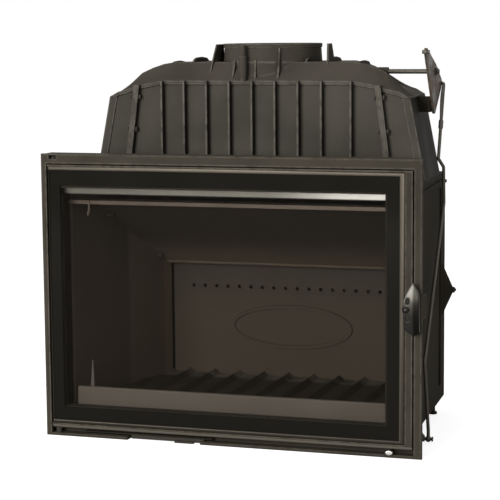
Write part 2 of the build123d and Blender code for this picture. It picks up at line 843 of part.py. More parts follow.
crank_bush_radius = shaft_radius + 4.0
with BuildPart() as side_wall_right:
    side_wall(1)
    bar_x(arm_at, flange_half, crank_depth, crank_level, crank_bush_radius, Mode.SUBTRACT)
    block(arm_at, flange_half, crank_depth - crank_bush_radius, crank_depth + crank_bush_radius,
          wall_bottom - 1, crank_level, Mode.SUBTRACT)
save(side_wall_right, "side_wall_right")

with BuildPart() as crank_bush:
    bush_x0 = wall_half(crank_depth) - wall_thickness - 4
    bar_x(bush_x0, crank_at - 0.5, crank_depth, crank_level, crank_bush_radius)
    block(bush_x0, crank_at - 0.5, crank_depth - crank_bush_radius, crank_depth + crank_bush_radius,
          wall_bottom, crank_level)
    block(bush_x0, bush_x0 + 3, crank_depth - crank_bush_radius, crank_depth + crank_bush_radius,
          crank_level, base_level)
    bar_x(bush_x0 - 1, crank_at + 1, crank_depth, crank_level, shaft_radius + shaft_fit, Mode.SUBTRACT)
save(crank_bush, "crank_bush")

with BuildPart() as boss_cap_nuts:
    nub_x = wall_half(pyramid_depth) + pyramid_rise
    for sign in (-1, 1):
        bar_x(sign * nub_x, sign * (nub_x + cap_height), pyramid_depth, pyramid_level, cap_nut_radius)
        with Locations((sign * (nub_x + cap_height), at(pyramid_depth), pyramid_level)):
            Sphere(cap_height)
save(boss_cap_nuts, "boss_cap_nuts")

with BuildPart() as back_wall:
    half = wall_half(body_depth) - wall_thickness
    block(-half, half, back_front, body_depth, wall_bottom, wall_top)
save(back_wall, "back_wall")

duct_slot_left = -duct_left + duct_slot_margin
duct_slot_right = -duct_right - duct_slot_margin
duct_slot = [(duct_slot_left, duct_slot_front), (duct_slot_right, duct_slot_front),
             (duct_slot_right, duct_slot_rear), (duct_slot_left, duct_slot_rear)]
base_front = frame_depth + body_flange
base_in = wall_thickness + 0.4
notch_x = yoke_x - 3 * yoke_thickness
notch_depth = crank_depth + 3 * yoke_half_depth

with BuildPart() as base_plate:
    plan([(-wall_half(base_front) + base_in, frame_depth), (wall_half(base_front) - base_in, frame_depth),
          (wall_half(back_front) - base_in, back_front), (-wall_half(back_front) + base_in, back_front)],
         base_level, floor_level)
    block(notch_x, wall_half_front, frame_depth - 1, notch_depth, base_level - 1, floor_level + 1,
          Mode.SUBTRACT)
    for sign in (-1, 1):
        bar_z(sign * foot_x, foot_depth, base_level - foot_boss_drop, base_level, foot_boss_radius)
        bar_z(sign * foot_x, foot_depth, base_level - foot_boss_drop - 1, floor_level + 1,
              foot_bolt_radius, Mode.SUBTRACT)
    plan(duct_slot, base_level - 1, floor_level + 1, Mode.SUBTRACT)
save(base_plate, "base_plate")

with BuildPart() as hearth_floor:
    plan([(-wall_half(base_front) + base_in, base_front), (wall_half(base_front) - base_in, base_front),
          (wall_half(back_front) - base_in, back_front), (-wall_half(back_front) + base_in, back_front)],
         floor_level, hearth_level)
    for number in range(ridge_count):
        ridge_x = (number - (ridge_count - 1) / 2) * ridge_pitch
        reach = lining_front + (lining_rear - lining_front) * (
            lining_front_half - abs(ridge_x) - ridge_half - 1) / (lining_front_half - lining_rear_half)
        ridge_end = min(lining_rear - 2, reach)
        front([(ridge_x - ridge_half, hearth_level - 1), (ridge_x, hearth_level + ridge_height),
               (ridge_x + ridge_half, hearth_level - 1)], duct_slot_rear + 3, ridge_end)
    for sign in (-1, 1):
        bar_z(sign * foot_x, foot_depth, floor_level - 1, hearth_level + 1, foot_bolt_radius, Mode.SUBTRACT)
    plan(duct_slot, floor_level - 1, hearth_level + 1, Mode.SUBTRACT)
save(hearth_floor, "hearth_floor")

with BuildPart() as air_duct:
    block(-duct_left, -duct_right, frame_depth, duct_depth, duct_bottom, base_level)
    block(-duct_left + duct_wall, -duct_right - duct_wall, frame_depth - 1, duct_depth - duct_wall,
          duct_bottom + duct_wall, base_level + 1, Mode.SUBTRACT)
save(air_duct, "air_duct")

with BuildPart() as body_top:
    lid_front = wall_half(frame_depth) + top_overhang
    lid_rear = wall_half(body_depth) + top_overhang
    plan([(-lid_front, frame_depth), (lid_front, frame_depth), (lid_rear, body_depth + top_rear_overhang),
          (-lid_rear, body_depth + top_rear_overhang)], wall_top, hood_base)
    block(-hood_half_rear + smoke_margin, hood_half_rear - smoke_margin, smoke_front,
          hood_rear - smoke_setback, wall_top - 1, hood_base + 1, Mode.SUBTRACT)
    block(-opening_right, opening_right, frame_depth, frame_depth + body_flange,
          wall_top, top_bolt_level + top_flange_margin)
    for x in top_bolt_x:
        bar_y(x, frame_depth - 1, frame_depth + body_flange + 1, top_bolt_level, frame_bolt_radius,
              Mode.SUBTRACT)
save(body_top, "body_top")

with BuildPart() as frame_bolts:
    head_at = frame_depth + body_flange
    for sign in (-1, 1):
        for level in frame_bolt_levels:
            bar_y(sign * frame_bolt_x, frame_depth - frame_bolt_grip + 1, head_at, level, frame_bolt_radius)
            hex_y(sign * frame_bolt_x, head_at, head_at + bolt_head_height, level, bolt_head)
    for x in top_bolt_x:
        bar_y(x, frame_depth - frame_bolt_grip + 1, head_at, top_bolt_level, frame_bolt_radius)
        hex_y(x, head_at, head_at + bolt_head_height, top_bolt_level, bolt_head)
save(frame_bolts, "frame_bolts")

with BuildPart() as levelling_bolts:
    for sign in (-1, 1):
        bar_z(sign * foot_x, foot_depth, 0, hearth_level - 1, foot_bolt_radius)
        bar_z(sign * foot_x, foot_depth, 0, foot_pad_height, foot_pad_radius)
save(levelling_bolts, "levelling_bolts")

with BuildPart() as levelling_nuts:
    nut_top = base_level - foot_boss_drop
    for sign in (-1, 1):
        hex_z(sign * foot_x, foot_depth, nut_top - foot_nut_height, nut_top, foot_bolt_radius * 1.9)
        bar_z(sign * foot_x, foot_depth, 0, nut_top + 1, foot_bolt_radius, Mode.SUBTRACT)
save(levelling_nuts, "levelling_nuts")

# ---- firebox ----
rest_spots = []
for depth in (baffle_front_depth + rest_pin_front, baffle_nose_depth - rest_pin_rear):
    share = (depth - baffle_front_depth) / (baffle_nose_depth - baffle_front_depth)
    level = baffle_front_level + (baffle_nose_level - baffle_front_level) * share
    tilt = sqrt(1 + ((baffle_front_level - baffle_nose_level) / (baffle_nose_depth - baffle_front_depth)) ** 2)
    rest_spots.append((depth, level - (baffle_thickness / 2 + rest_pin_radius) * tilt))


def side_lining(sign):
    plan([(sign * lining_front_half, lining_front),
          (sign * (lining_front_half + lining_thickness), lining_front),
          (sign * (lining_rear_half + lining_thickness), lining_rear),
          (sign * lining_rear_half, lining_rear)], hearth_level, lining_top)
    for depth, level in rest_spots:
        bar_x(sign * (lining_half(depth) - rest_pin_reach), sign * (lining_half(depth) + 12), depth, level,
              rest_pin_radius, Mode.SUBTRACT)
    block(sign * (lining_rear_half - 4), sign * (lining_rear_half + 30), lining_rear - 3, lining_rear + 0.1,
          hearth_level - 1, lining_top + 1, Mode.SUBTRACT)


with BuildPart() as side_lining_left:
    side_lining(-1)
save(side_lining_left, "side_lining_left")

with BuildPart() as side_lining_right:
    side_lining(1)
save(side_lining_right, "side_lining_right")

with BuildPart() as baffle_pins:
    for sign in (-1, 1):
        for depth, level in rest_spots:
            bar_x(sign * (lining_half(depth) - rest_pin_reach), sign * (lining_half(depth) + 10), depth, level,
                  rest_pin_radius)
            bar_x(sign * (lining_half(depth) + 9), sign * (wall_half(depth) - wall_thickness - 0.5), depth, level,
                  rest_pin_radius)
save(baffle_pins, "baffle_pins")

with BuildPart() as back_lining:
    block(-lining_rear_half + back_lining_gap, lining_rear_half - back_lining_gap, lining_rear,
          lining_rear + back_lining_thickness, hearth_level, hearth_level + back_lining_height)
    for number in range(back_hole_count):
        hole_x = back_pattern_shift + (number - (back_hole_count - 1) / 2) * back_hole_pitch
        bar_y(hole_x, lining_rear - 1, lining_rear + back_lining_thickness + 1, back_hole_level,
              back_hole_radius, Mode.SUBTRACT)
    with BuildSketch(Plane.XZ.offset(-at(lining_rear))):
        with Locations((back_pattern_shift, oval_level)):
            Ellipse(oval_width / 2, oval_height / 2)
            Ellipse(oval_width / 2 - oval_rim, oval_height / 2 - oval_rim, mode=Mode.SUBTRACT)
    extrude(amount=oval_rise)
    for sign in (-1, 1):
        block(sign * (lining_rear_half - 30), sign * (lining_rear_half - 10),
              lining_rear + back_lining_thickness, back_front, hearth_level, hearth_level + back_lining_height)
save(back_lining, "back_lining")

slope = atan2(baffle_front_level - baffle_nose_level, baffle_nose_depth - baffle_front_depth)
lift_d = baffle_thickness / 2 * sin(slope)
lift_z = baffle_thickness / 2 * cos(slope)
with BuildPart() as baffle:
    side([(baffle_nose_depth + lift_d, baffle_nose_level + lift_z),
          (baffle_front_depth + lift_d, baffle_front_level + lift_z),
          (baffle_front_depth - lift_d, baffle_front_level - lift_z),
          (baffle_nose_depth - lift_d, baffle_nose_level - lift_z)], -half_width, half_width)
    bar_x(-half_width, half_width, baffle_nose_depth, baffle_nose_level,
          baffle_thickness / 2 + baffle_nose_swell)
    inner_front = lining_half(baffle_front_depth - 10) - baffle_clearance
    inner_rear = lining_half(lining_rear - 4) - baffle_clearance
    plan([(-inner_front, baffle_front_depth - 10), (inner_front, baffle_front_depth - 10),
          (inner_rear, lining_rear - 4), (-inner_rear, lining_rear - 4)], hearth_level, wall_top, Mode.INTERSECT)
save(baffle, "baffle")

with BuildPart() as log_fender:
    block(-fender_half, fender_half, fender_depth, fender_depth + fender_thickness,
          hearth_level, hearth_level + fender_height)
    block(-fender_half, fender_half, fender_depth, fender_depth + fender_thickness - 2,
          hearth_level - 1, hearth_level, Mode.SUBTRACT)
    top_edges = log_fender.edges().filter_by(Axis.X).group_by(Axis.Z)[-1]
    fillet(top_edges, fender_edge)
save(log_fender, "log_fender")

fender_top = hearth_level + fender_height
post_at = fender_depth + fender_thickness + post_width / 2
with BuildPart() as andiron_posts:
    for x in post_x:
        block(x - post_width / 2, x + post_width / 2, fender_depth + fender_thickness,
              fender_depth + fender_thickness + post_width, hearth_level, fender_top + post_height - post_tip)
    for x in post_x:
        with BuildSketch(Plane.XY.offset(fender_top + post_height - post_tip)):
            with Locations((x, at(post_at))):
                Rectangle(post_width, post_width)
        extrude(amount=post_tip, taper=20)
save(andiron_posts, "andiron_posts")

with BuildPart() as air_wash_lip:
    lip_front = pocket_depth + lip_bar_gap
    side([(lip_front, lip_bar_bottom), (lip_front, opening_top), (lip_front + lip_bar_depth, opening_top),
          (lip_front + lip_bar_depth, opening_top - 4), (lip_front + lip_bar_thickness, opening_top - 4),
          (lip_front + lip_bar_thickness, lip_bar_bottom)],
         -opening_left - lip_notch + lip_notch_fit, opening_right + lip_notch - lip_notch_fit)
    lip_edges = air_wash_lip.edges().filter_by(Axis.X).group_by(Axis.Z)[0]
    fillet(lip_edges, 2.5)
save(air_wash_lip, "air_wash_lip")

with BuildPart() as low_bar:
    reach = wall_half(low_bar_at + low_bar_depth) - wall_thickness - 0.3
    block(-reach, reach, low_bar_at, low_bar_at + low_bar_depth, low_bar_bottom, low_bar_bottom + low_bar_height)
save(low_bar, "low_bar")

with BuildPart() as bar_hook:
    hook_sides = (hook_x - hook_width / 2, hook_x + hook_width / 2)
    hook_foot = low_bar_bottom - hook_drop
    block(*hook_sides, low_bar_at - hook_thickness, low_bar_at, hook_foot, low_bar_bottom + low_bar_height)
    block(*hook_sides, low_bar_at - hook_reach, low_bar_at, hook_foot, hook_foot + hook_thickness)
    block(*hook_sides, low_bar_at - hook_reach, low_bar_at - hook_reach + hook_thickness,
          hook_foot, hook_foot + hook_reach)
save(bar_hook, "bar_hook")

# ---- hood ----
arch_half = hood_half(True, hood_top)
crown_half = arch_half + 1
arch_steps = ((20, 11), (43, 17), (68, 25), (93, 30), (120, 35))
crown_steps = ((30, 24), (60, 50), (85, 61), (110, 69), (135, dome_rise))
arch = [(arch_half - inset, hood_top + rise) for inset, rise in arch_steps]
crown = [(crown_half - inset, hood_top + rise) for inset, rise in crown_steps]
rear_share = hood_half(False, hood_top) / arch_half
dome_rear_half = crown_half * (1 - (1 - rear_share) * (dome_rear_start - hood_front) / hood_depth)


def profile(points, half, share=1.0, inset=0.0, base=hood_top):
    right = [(half - inset, base)] + [(x * share - inset * 0.8, level - inset) for x, level in points]
    return right + [(-x, level) for x, level in reversed(right)]


def hood_seam(sign, widen):
    low = hood_base - 2
    high = dome_flat_level
    front([(sign * (seam_at(low) + widen), low), (sign * half_width, low), (sign * half_width, high),
           (sign * (seam_at(high) + widen), high)], 0, body_depth + 40, Mode.SUBTRACT)


def hood_shell():
    for inset, low, high, mode in ((0.0, hood_flange_top, hood_top, Mode.ADD),
                                   (hood_wall, hood_flange_top - 1, hood_top + 1, Mode.SUBTRACT)):
        ends = []
        for level in (low, high):
            wide = hood_half(True, level) - inset
            narrow = hood_half(False, level) - inset
            with BuildSketch(Plane.XY.offset(level)) as end:
                Polygon((-wide, at(hood_front + inset)), (wide, at(hood_front + inset)),
                        (narrow, at(hood_rear - inset)), (-narrow, at(hood_rear - inset)), align=None)
            ends.append(end.sketch.face())
        loft(ends, mode=mode)


def hood_flange():
    wide = hood_half_front - 2
    narrow = hood_half_rear + 3
    plan([(-wide, hood_front - hood_flange_reach), (wide, hood_front - hood_flange_reach),
          (narrow, body_depth), (-narrow, body_depth)], hood_base, hood_flange_top)
    plan([(-hood_half_rear + smoke_margin, hood_front + hood_wall),
          (hood_half_rear - smoke_margin, hood_front + hood_wall),
          (hood_half_rear - smoke_margin, hood_rear - hood_wall),
          (-hood_half_rear + smoke_margin, hood_rear - hood_wall)], hood_base - 1, hood_flange_top + 1,
         Mode.SUBTRACT)


def hood_bolt_holes():
    for x, depth in hood_bolt_spots:
        bar_z(x, depth, hood_base - 1, hood_flange_top + 1, seam_bolt_radius, Mode.SUBTRACT)


hood_bolt_spots = []
for bolt_x in (hood_half_front - hood_bolt_corner, seam_half - hood_bolt_beside_seam, hood_bolt_middle):
    for sign in (-1, 1):
        hood_bolt_spots.append((sign * bolt_x, hood_front - hood_flange_reach / 2))
        hood_bolt_spots.append((sign * bolt_x, hood_rear + hood_from_rear / 2 + 1))

seam_bolt_levels = [hood_base + rise for rise in seam_bolt_rise]
seam_flange_foot = hood_flange_top
seam_flange_head = hood_top + seam_flange_rise
rib_places = [rib_first + rib_pitch * number for number in range(rib_count)] + [rib_last]


def arch_level(x):
    edge = [(0.0, arch[-1][1])] + [(point[0], point[1]) for point in reversed(arch)] + [(arch_half, hood_top)]
    for (x0, z0), (x1, z1) in zip(edge, edge[1:]):
        if x0 <= abs(x) <= x1:
            return z0 + (z1 - z0) * (abs(x) - x0) / (x1 - x0)
    return hood_top


def seam_ribs(sign, inner):
    low = seam_flange_foot
    high = seam_flange_head
    step = -seam_flange if inner else seam_flange
    front([(sign * seam_at(low), low), (sign * (seam_at(low) + step), low),
           (sign * (seam_at(high) + step), high), (sign * seam_at(high), high)],
          hood_front - seam_depth, hood_front + 1)
    for level in seam_bolt_levels:
        bar_x(sign * (seam_at(level) - 20), sign * (seam_at(level) + 20), hood_front - seam_depth / 2 - 1,
              level, seam_bolt_radius - 1, Mode.SUBTRACT)


with BuildPart() as hood_centre:
    hood_shell()
    hood_flange()
    front(profile(arch, arch_half), hood_front, hood_front + hood_wall)
    front(profile(arch, arch_half), hood_front - belt_rise, hood_front)
    front([(x, level - belt_height) for x, level in profile(arch, arch_half)] +
          [(-half_width, hood_flange_top), (half_width, hood_flange_top)],
          hood_front - belt_rise - 1, hood_front, Mode.SUBTRACT)
    for sign in (-1, 1):
        hood_seam(sign, 0)
    for rib_x in rib_places:
        block(rib_x - rib_thickness / 2, rib_x + rib_thickness / 2, hood_front - rib_depth, hood_front + 1,
              hood_flange_top - 1, arch_level(rib_x) - 1)
    for sign in (-1, 1):
        seam_ribs(sign, True)
    hood_bolt_holes()
    block(-half_width, half_width, hood_split, body_depth + 40, hood_base - 1, hood_top + 60, Mode.SUBTRACT)
save(hood_centre, "hood_centre")

with BuildPart() as hood_back:
    hood_shell()
    hood_flange()
    for sign in (-1, 1):
        hood_seam(sign, 0)
    hood_bolt_holes()
    block(-half_width, half_width, 0, hood_split, hood_base - 1, hood_top + 60, Mode.SUBTRACT)
save(hood_back, "hood_back")


def hood_side(sign):
    hood_shell()
    hood_flange()
    front(profile(arch, arch_half), hood_front, hood_front + hood_wall)
    front(profile(arch, arch_half), hood_front - belt_rise, hood_front)
    front([(x, level - belt_height) for x, level in profile(arch, arch_half)] +
          [(-half_width, hood_flange_top), (half_width, hood_flange_top)],
          hood_front - belt_rise - 1, hood_front, Mode.SUBTRACT)
    front([(sign * (hood_half(True, hood_flange_top) - corner_strip), hood_flange_top),
           (sign * hood_half(True, hood_flange_top), hood_flange_top), (sign * arch_half, hood_top),
           (sign * (arch_half - corner_strip), hood_top)], hood_front - corner_strip_rise, hood_front + 1)
    low = hood_base - 2
    high = dome_flat_level
    front([(sign * seam_at(low), low), (-sign * half_width, low), (-sign * half_width, high),
           (sign * seam_at(high), high)], 0, body_depth + 40, Mode.SUBTRACT)
    seam_ribs(sign, False)
    hood_bolt_holes()


with BuildPart() as hood_left:
    hood_side(-1)
save(hood_left, "hood_left")

with BuildPart() as hood_right:
    hood_side(1)
save(hood_right, "hood_right")

with BuildPart() as hood_seam_bolts:
    for sign in (-1, 1):
        for level in seam_bolt_levels:
            middle = seam_at(level)
            place = hood_front - seam_depth / 2 - 1
            bar_x(sign * (middle - seam_flange - 0.5), sign * (middle + seam_flange + 0.5), place, level,
                  seam_bolt_radius - 1)
            for end in (-1, 1):
                outer = middle + end * (seam_flange + 1.0)
                hex_x(sign * outer, sign * (outer + end * 4), place, level, 5.5)
save(hood_seam_bolts, "hood_seam_bolts")

with BuildPart() as hood_base_bolts:
    for x, depth in hood_bolt_spots:
        bar_z(x, depth, hood_base, hood_flange_top, seam_bolt_radius)
        hex_z(x, depth, hood_flange_top, hood_flange_top + bolt_head_height, bolt_head)
save(hood_base_bolts, "hood_base_bolts")

hump_steps = ((-99, -30), (-84, -7), (-65, 6), (-50, 9), (-17, 10), (14, 7), (30, -1), (30, -4),
              (-79, -4), (-95, -27))
gusset_steps = ((-103, -26), (-88, 0), (-58, collar_height - 1), (-12, collar_height - 1), (-12, -5),
                (-79, -5), (-95, -27))
post_fin_steps = ((-99, -25), (-83, 0), (-80, collar_height), (-54, collar_height), (-37, 8), (-37, -5),
                  (-79, -5), (-95, -27))
post_fin_x = 144.0


def fin(steps, x0, x1, drop=0.0):
    side([(flue_depth + back, dome_flat_level + rise - drop) for back, rise in steps], x0, x1)


with BuildPart() as dome:
    for inset, mode in ((0.0, Mode.ADD), (dome_wall, Mode.SUBTRACT)):
        base = hood_top - (1.0 if inset else 0.0)
        sections = ((dome_front + inset, arch, arch_half, 1.0),
                    (dome_front + dome_slope_depth + inset * 0.4, crown, crown_half, 1.0),
                    (dome_rear_start, crown, dome_rear_half, dome_rear_share),
                    (hood_rear - inset, arch, arch_half * rear_share, rear_share))
        for depth, points, half, share in sections:
            with BuildSketch(Plane.XZ.offset(-at(depth))):
                Polygon(*profile(points, half, share, inset, base), align=None)
        loft(ruled=True, mode=mode)
    bar_z(0, flue_depth, neck_bottom, dome_flat_level, collar_base_radius)
    for rib_x in rib_places:
        thin = (rib_x - rib_thickness / 2, rib_x + rib_thickness / 2)
        if abs(rib_x) < collar_base_radius - 10:
            edge = flue_depth - sqrt(collar_base_radius ** 2 - rib_x ** 2)
            head = collar_top - 9 if rib_x == tall_fin else fin_level - 4
            if edge - flue_depth > hump_steps[3][0]:
                fin((*hump_steps[:4], (edge - flue_depth - 0.5, 4), (edge - flue_depth - 0.5, -4),
                     *hump_steps[-2:]), *thin)
            side([(dome_front + 2, arch[-1][1] + 3), (edge - 1.5, head), (edge - 0.5, head),
                  (edge - 0.5, dome_flat_level), (edge + 5, dome_flat_level - 1), (edge + 5, arch[-1][1] + 4)],
                 *thin)
        else:
            fin(hump_steps, *thin, 0.0 if abs(rib_x) < crown[-1][0] + rib_thickness else 2 * rib_thickness)
    fin(gusset_steps, -collar_base_radius - rib_thickness + 0.5, -collar_base_radius - 0.5)
    fin(post_fin_steps, post_fin_x - rib_thickness / 2, post_fin_x + rib_thickness / 2)
    bar_z(0, flue_depth, neck_bottom - 1, dome_flat_level + 1, throat_radius, Mode.SUBTRACT)
    bar_x(-throat_radius - 30, throat_radius + 30, shaft_depth, shaft_level, shaft_radius + shaft_fit,
          Mode.SUBTRACT)
    bar_z(0, flue_depth, dome_flat_level, collar_top + 1, collar_base_radius, Mode.SUBTRACT)
    bar_x(bush_start - 20, bush_end + 6, shaft_depth, shaft_level, bush_radius, Mode.SUBTRACT)
    bar_x(throat_radius + 20, bush_end, shaft_depth, shaft_level, shaft_radius + 2, Mode.SUBTRACT)
    for number in range(4):
        angle = radians(45 + 90 * number)
        screw_x = collar_screw_circle * cos(angle)
        screw_d = flue_depth + collar_screw_circle * sin(angle)
        bar_z(screw_x, screw_d, dome_flat_level - collar_screw_grip - 1, dome_flat_level + 1,
              collar_screw_radius, Mode.SUBTRACT)
    bar_z(stud_x, stud_depth, arch[-1][1], dome_flat_level, stud_radius, Mode.SUBTRACT)
save(dome, "dome")

with BuildPart() as dome_stud:
    bar_z(stud_x, stud_depth, arch[-1][1], stud_shoulder, stud_radius)
    bar_z(stud_x, stud_depth, stud_shoulder, stud_top, stud_step_radius)
save(dome_stud, "dome_stud")

with BuildPart() as flue_collar:
    with BuildSketch(Plane.XZ.offset(-at(flue_depth))):
        Polygon((throat_radius, dome_flat_level), (collar_base_radius, dome_flat_level),
                (collar_top_radius, collar_top - collar_rim - 1), (collar_base_radius, collar_top - collar_rim),
                (collar_base_radius, collar_top), (flue_bore, collar_top),
                (flue_bore, dome_flat_level + collar_ledge), (throat_radius, dome_flat_level + collar_ledge),
                align=None)
    revolve(axis=Axis((0, at(flue_depth), 0), (0, 0, 1)))
    for number in range(4):
        angle = radians(45 + 90 * number)
        screw_x = collar_screw_circle * cos(angle)
        screw_d = flue_depth + collar_screw_circle * sin(angle)
        bar_z(screw_x, screw_d, dome_flat_level - 1, dome_flat_level + collar_ledge + 1,
              collar_screw_radius, Mode.SUBTRACT)
        bar_z(screw_x, screw_d, dome_flat_level + collar_ledge - collar_screw_head,
              dome_flat_level + collar_ledge + 1, collar_screw_radius + 1, Mode.SUBTRACT)
save(flue_collar, "flue_collar")

with BuildPart() as collar_screws:
    for number in range(4):
        angle = radians(45 + 90 * number)
        screw_x = collar_screw_circle * cos(angle)
        screw_d = flue_depth + collar_screw_circle * sin(angle)
        screw_top = dome_flat_level + collar_ledge
        bar_z(screw_x, screw_d, dome_flat_level - collar_screw_grip, screw_top - collar_screw_head,
              collar_screw_radius)
        bar_z(screw_x, screw_d, screw_top - collar_screw_head, screw_top - 0.2, collar_screw_radius + 0.9)
save(collar_screws, "collar_screws")

with BuildPart() as shaft_bush:
    bar_x(bush_start, bush_end, shaft_depth, shaft_level, bush_radius)
    bar_x(bush_start - 1, bush_end + 1, shaft_depth, shaft_level, shaft_radius + shaft_fit, Mode.SUBTRACT)
save(shaft_bush, "shaft_bush")

bracket_share = bracket_front / hood_depth
hood_side_at = (hood_half(True, bracket_bottom) * (1 - bracket_share)
                + hood_half(False, bracket_bottom) * bracket_share)
bracket_at = hood_front + bracket_front
bracket_web = bracket_at + bracket_depth / 3
with BuildPart() as lever_bracket:
    block(hood_side_at - 20, lever_at - 1, bracket_web, bracket_web + bracket_thickness,
          bracket_bottom, bracket_top)
    block(lever_at - 1 - bracket_thickness, lever_at - 1, bracket_at, bracket_at + bracket_depth,
          bracket_bottom, bracket_top)
    wide = hood_half(True, bracket_bottom - 1)
    narrow = hood_half(False, bracket_bottom - 1)
    top_wide = hood_half(True, bracket_top + 1)
    top_narrow = hood_half(False, bracket_top + 1)
    with BuildSketch(Plane.XY.offset(bracket_bottom - 1)):
        Polygon((-wide, at(hood_front)), (wide, at(hood_front)), (narrow, at(hood_rear)),
                (-narrow, at(hood_rear)), align=None)
    with BuildSketch(Plane.XY.offset(bracket_top + 1)):
        Polygon((-top_wide, at(hood_front)), (top_wide, at(hood_front)), (top_narrow, at(hood_rear)),
                (-top_narrow, at(hood_rear)), align=None)
    loft(mode=Mode.SUBTRACT)
save(lever_bracket, "lever_bracket")

# ---- damper ----
disc_bottom = shaft_level + shaft_radius
saddle_x = 40.0
disc_screw_radius = 2.5
with BuildPart() as damper_disc:
    bar_z(0, flue_depth, disc_bottom, disc_bottom + disc_thickness, throat_radius - disc_gap)
    for sign in (-1, 1):
        block(sign * saddle_x - 12, sign * saddle_x + 12, shaft_depth - 11, shaft_depth + 11,
              shaft_level, disc_bottom)
        bar_z(sign * saddle_x, shaft_depth, shaft_level - 8, disc_bottom + disc_thickness + 1,
              disc_screw_radius, Mode.SUBTRACT)
    bar_x(-throat_radius, throat_radius, shaft_depth, shaft_level, shaft_radius, Mode.SUBTRACT)
save(damper_disc, "damper_disc")

with BuildPart() as damper_shaft:
    bar_x(-throat_radius - shaft_tail, lever_at + lever_thickness + shaft_end, shaft_depth,
          shaft_level, shaft_radius)
    for sign in (-1, 1):
        bar_z(sign * saddle_x, shaft_depth, shaft_level - 8, shaft_level + 8, disc_screw_radius, Mode.SUBTRACT)
save(damper_shaft, "damper_shaft")

with BuildPart() as disc_screws:
    for sign in (-1, 1):
        bar_z(sign * saddle_x, shaft_depth, shaft_level - shaft_radius - 2, disc_bottom + disc_thickness,
              disc_screw_radius)
        bar_z(sign * saddle_x, shaft_depth, disc_bottom + disc_thickness, disc_bottom + disc_thickness + 3, 5)
save(disc_screws, "disc_screws")

lever_eye = (shaft_depth + lever_eye_back, shaft_level + lever_eye_rise)
lever_tip = (shaft_depth + lever_tip_back, shaft_level + lever_tip_rise)
with BuildPart() as damper_lever:
    with BuildSketch(Plane.YZ.offset(lever_at)):
        with Locations((at(lever_eye[0]), lever_eye[1])):
            Circle(lever_eye_radius)
        with Locations((at(hook_depth), hook_level)):
            Circle(lever_hook_radius)
        with Locations((at(lever_tip[0]), lever_tip[1])):
            Circle(lever_tip_radius)
        with Locations((at(shaft_depth), shaft_level)):
            Circle(lever_hub_radius)
        make_hull()
        with Locations((at(hook_depth), hook_level)):
            Circle(rod_radius + rod_fit, mode=Mode.SUBTRACT)
        with Locations((at(shaft_depth), shaft_level)):
            Circle(shaft_radius, mode=Mode.SUBTRACT)
    extrude(amount=lever_thickness)
    bar_x(lever_at - lever_thickness, lever_at + 2 * lever_thickness, *lever_eye, lever_pin_radius)
save(damper_lever, "damper_lever")

with BuildPart() as lever_nut:
    hex_x(lever_at + lever_thickness, lever_at + lever_thickness + 5, shaft_depth, shaft_level, 9)
    bar_x(lever_at, lever_at + lever_thickness + shaft_end, shaft_depth, shaft_level, shaft_radius,
          Mode.SUBTRACT)
save(lever_nut, "lever_nut")

# ---- rod, crank, knob ----
rod_points = [(lever_at - 4, hook_depth, hook_level), (rod_x, hook_depth, hook_level),
              (rod_x - 0.5, hook_depth - 50, hook_level - 157), (rod_x + 9, hook_depth - 42, hook_level - 175),
              (rod_x + 9, hook_depth - 36, hook_level - 253),
              (rod_eye_x - 5, crank_pin_depth - 16, crank_pin_level + 162),
              (rod_eye_x, crank_pin_depth, crank_pin_level + 18), (rod_eye_x, crank_pin_depth, crank_pin_level)]
rod_points = [(x, at(depth), level) for x, depth, level in rod_points]
with BuildPart() as link_rod:
    with BuildLine():
        rod_path = FilletPolyline(*rod_points, radius=5)
    with BuildSketch(Plane(origin=rod_points[0], x_dir=(0, 1, 0), z_dir=(1, 0, 0))):
        Circle(rod_radius)
    sweep()
    with Locations(rod_points[-1]):
        Sphere(rod_eye_radius)
    bar_x(rod_eye_x - 12, rod_eye_x + 12, crank_pin_depth, crank_pin_level, crank_pin_radius + rod_eye_play,
          Mode.SUBTRACT)
save(link_rod, "link_rod")

top_bend = Vector(*rod_points[1])
low_bend = Vector(*rod_points[2])
rod_way = (low_bend - top_bend).normalized()
sleeve_start = top_bend + rod_way * sleeve_from_hook
with BuildPart() as rod_sleeve:
    with BuildSketch(Plane(origin=sleeve_start, z_dir=rod_way)):
        Circle(sleeve_radius)
        Circle(rod_radius, mode=Mode.SUBTRACT)
    extrude(amount=sleeve_length)
save(rod_sleeve, "rod_sleeve")

with BuildPart() as damper_crank:
    bar_x(arm_at + arm_plate, crank_at, crank_depth, crank_level, shaft_radius)
    with BuildSketch(Plane.YZ.offset(crank_at)):
        with Locations((at(crank_depth), crank_level)):
            Circle(9)
        with Locations((at(crank_pin_depth), crank_pin_level)):
            Circle(6)
        make_hull()
    extrude(amount=crank_plate)
    with BuildSketch(Plane.YZ.offset(arm_at)):
        with Locations((at(crank_depth), crank_level)):
            Circle(7)
        with Locations((at(arm_pin_depth), arm_pin_level)):
            Circle(4.5)
        make_hull()
    extrude(amount=arm_plate)
    bar_x(crank_at, rod_eye_x + rod_eye_radius + 3, crank_pin_depth, crank_pin_level, crank_pin_radius)
    bar_x(rod_eye_x + rod_eye_radius + 0.8, rod_eye_x + rod_eye_radius + 3, crank_pin_depth, crank_pin_level,
          5)
    bar_x(yoke_x - yoke_thickness / 2 - 1.5, arm_at + 1, arm_pin_depth, arm_pin_level, arm_pin_radius)
save(damper_crank, "damper_crank")

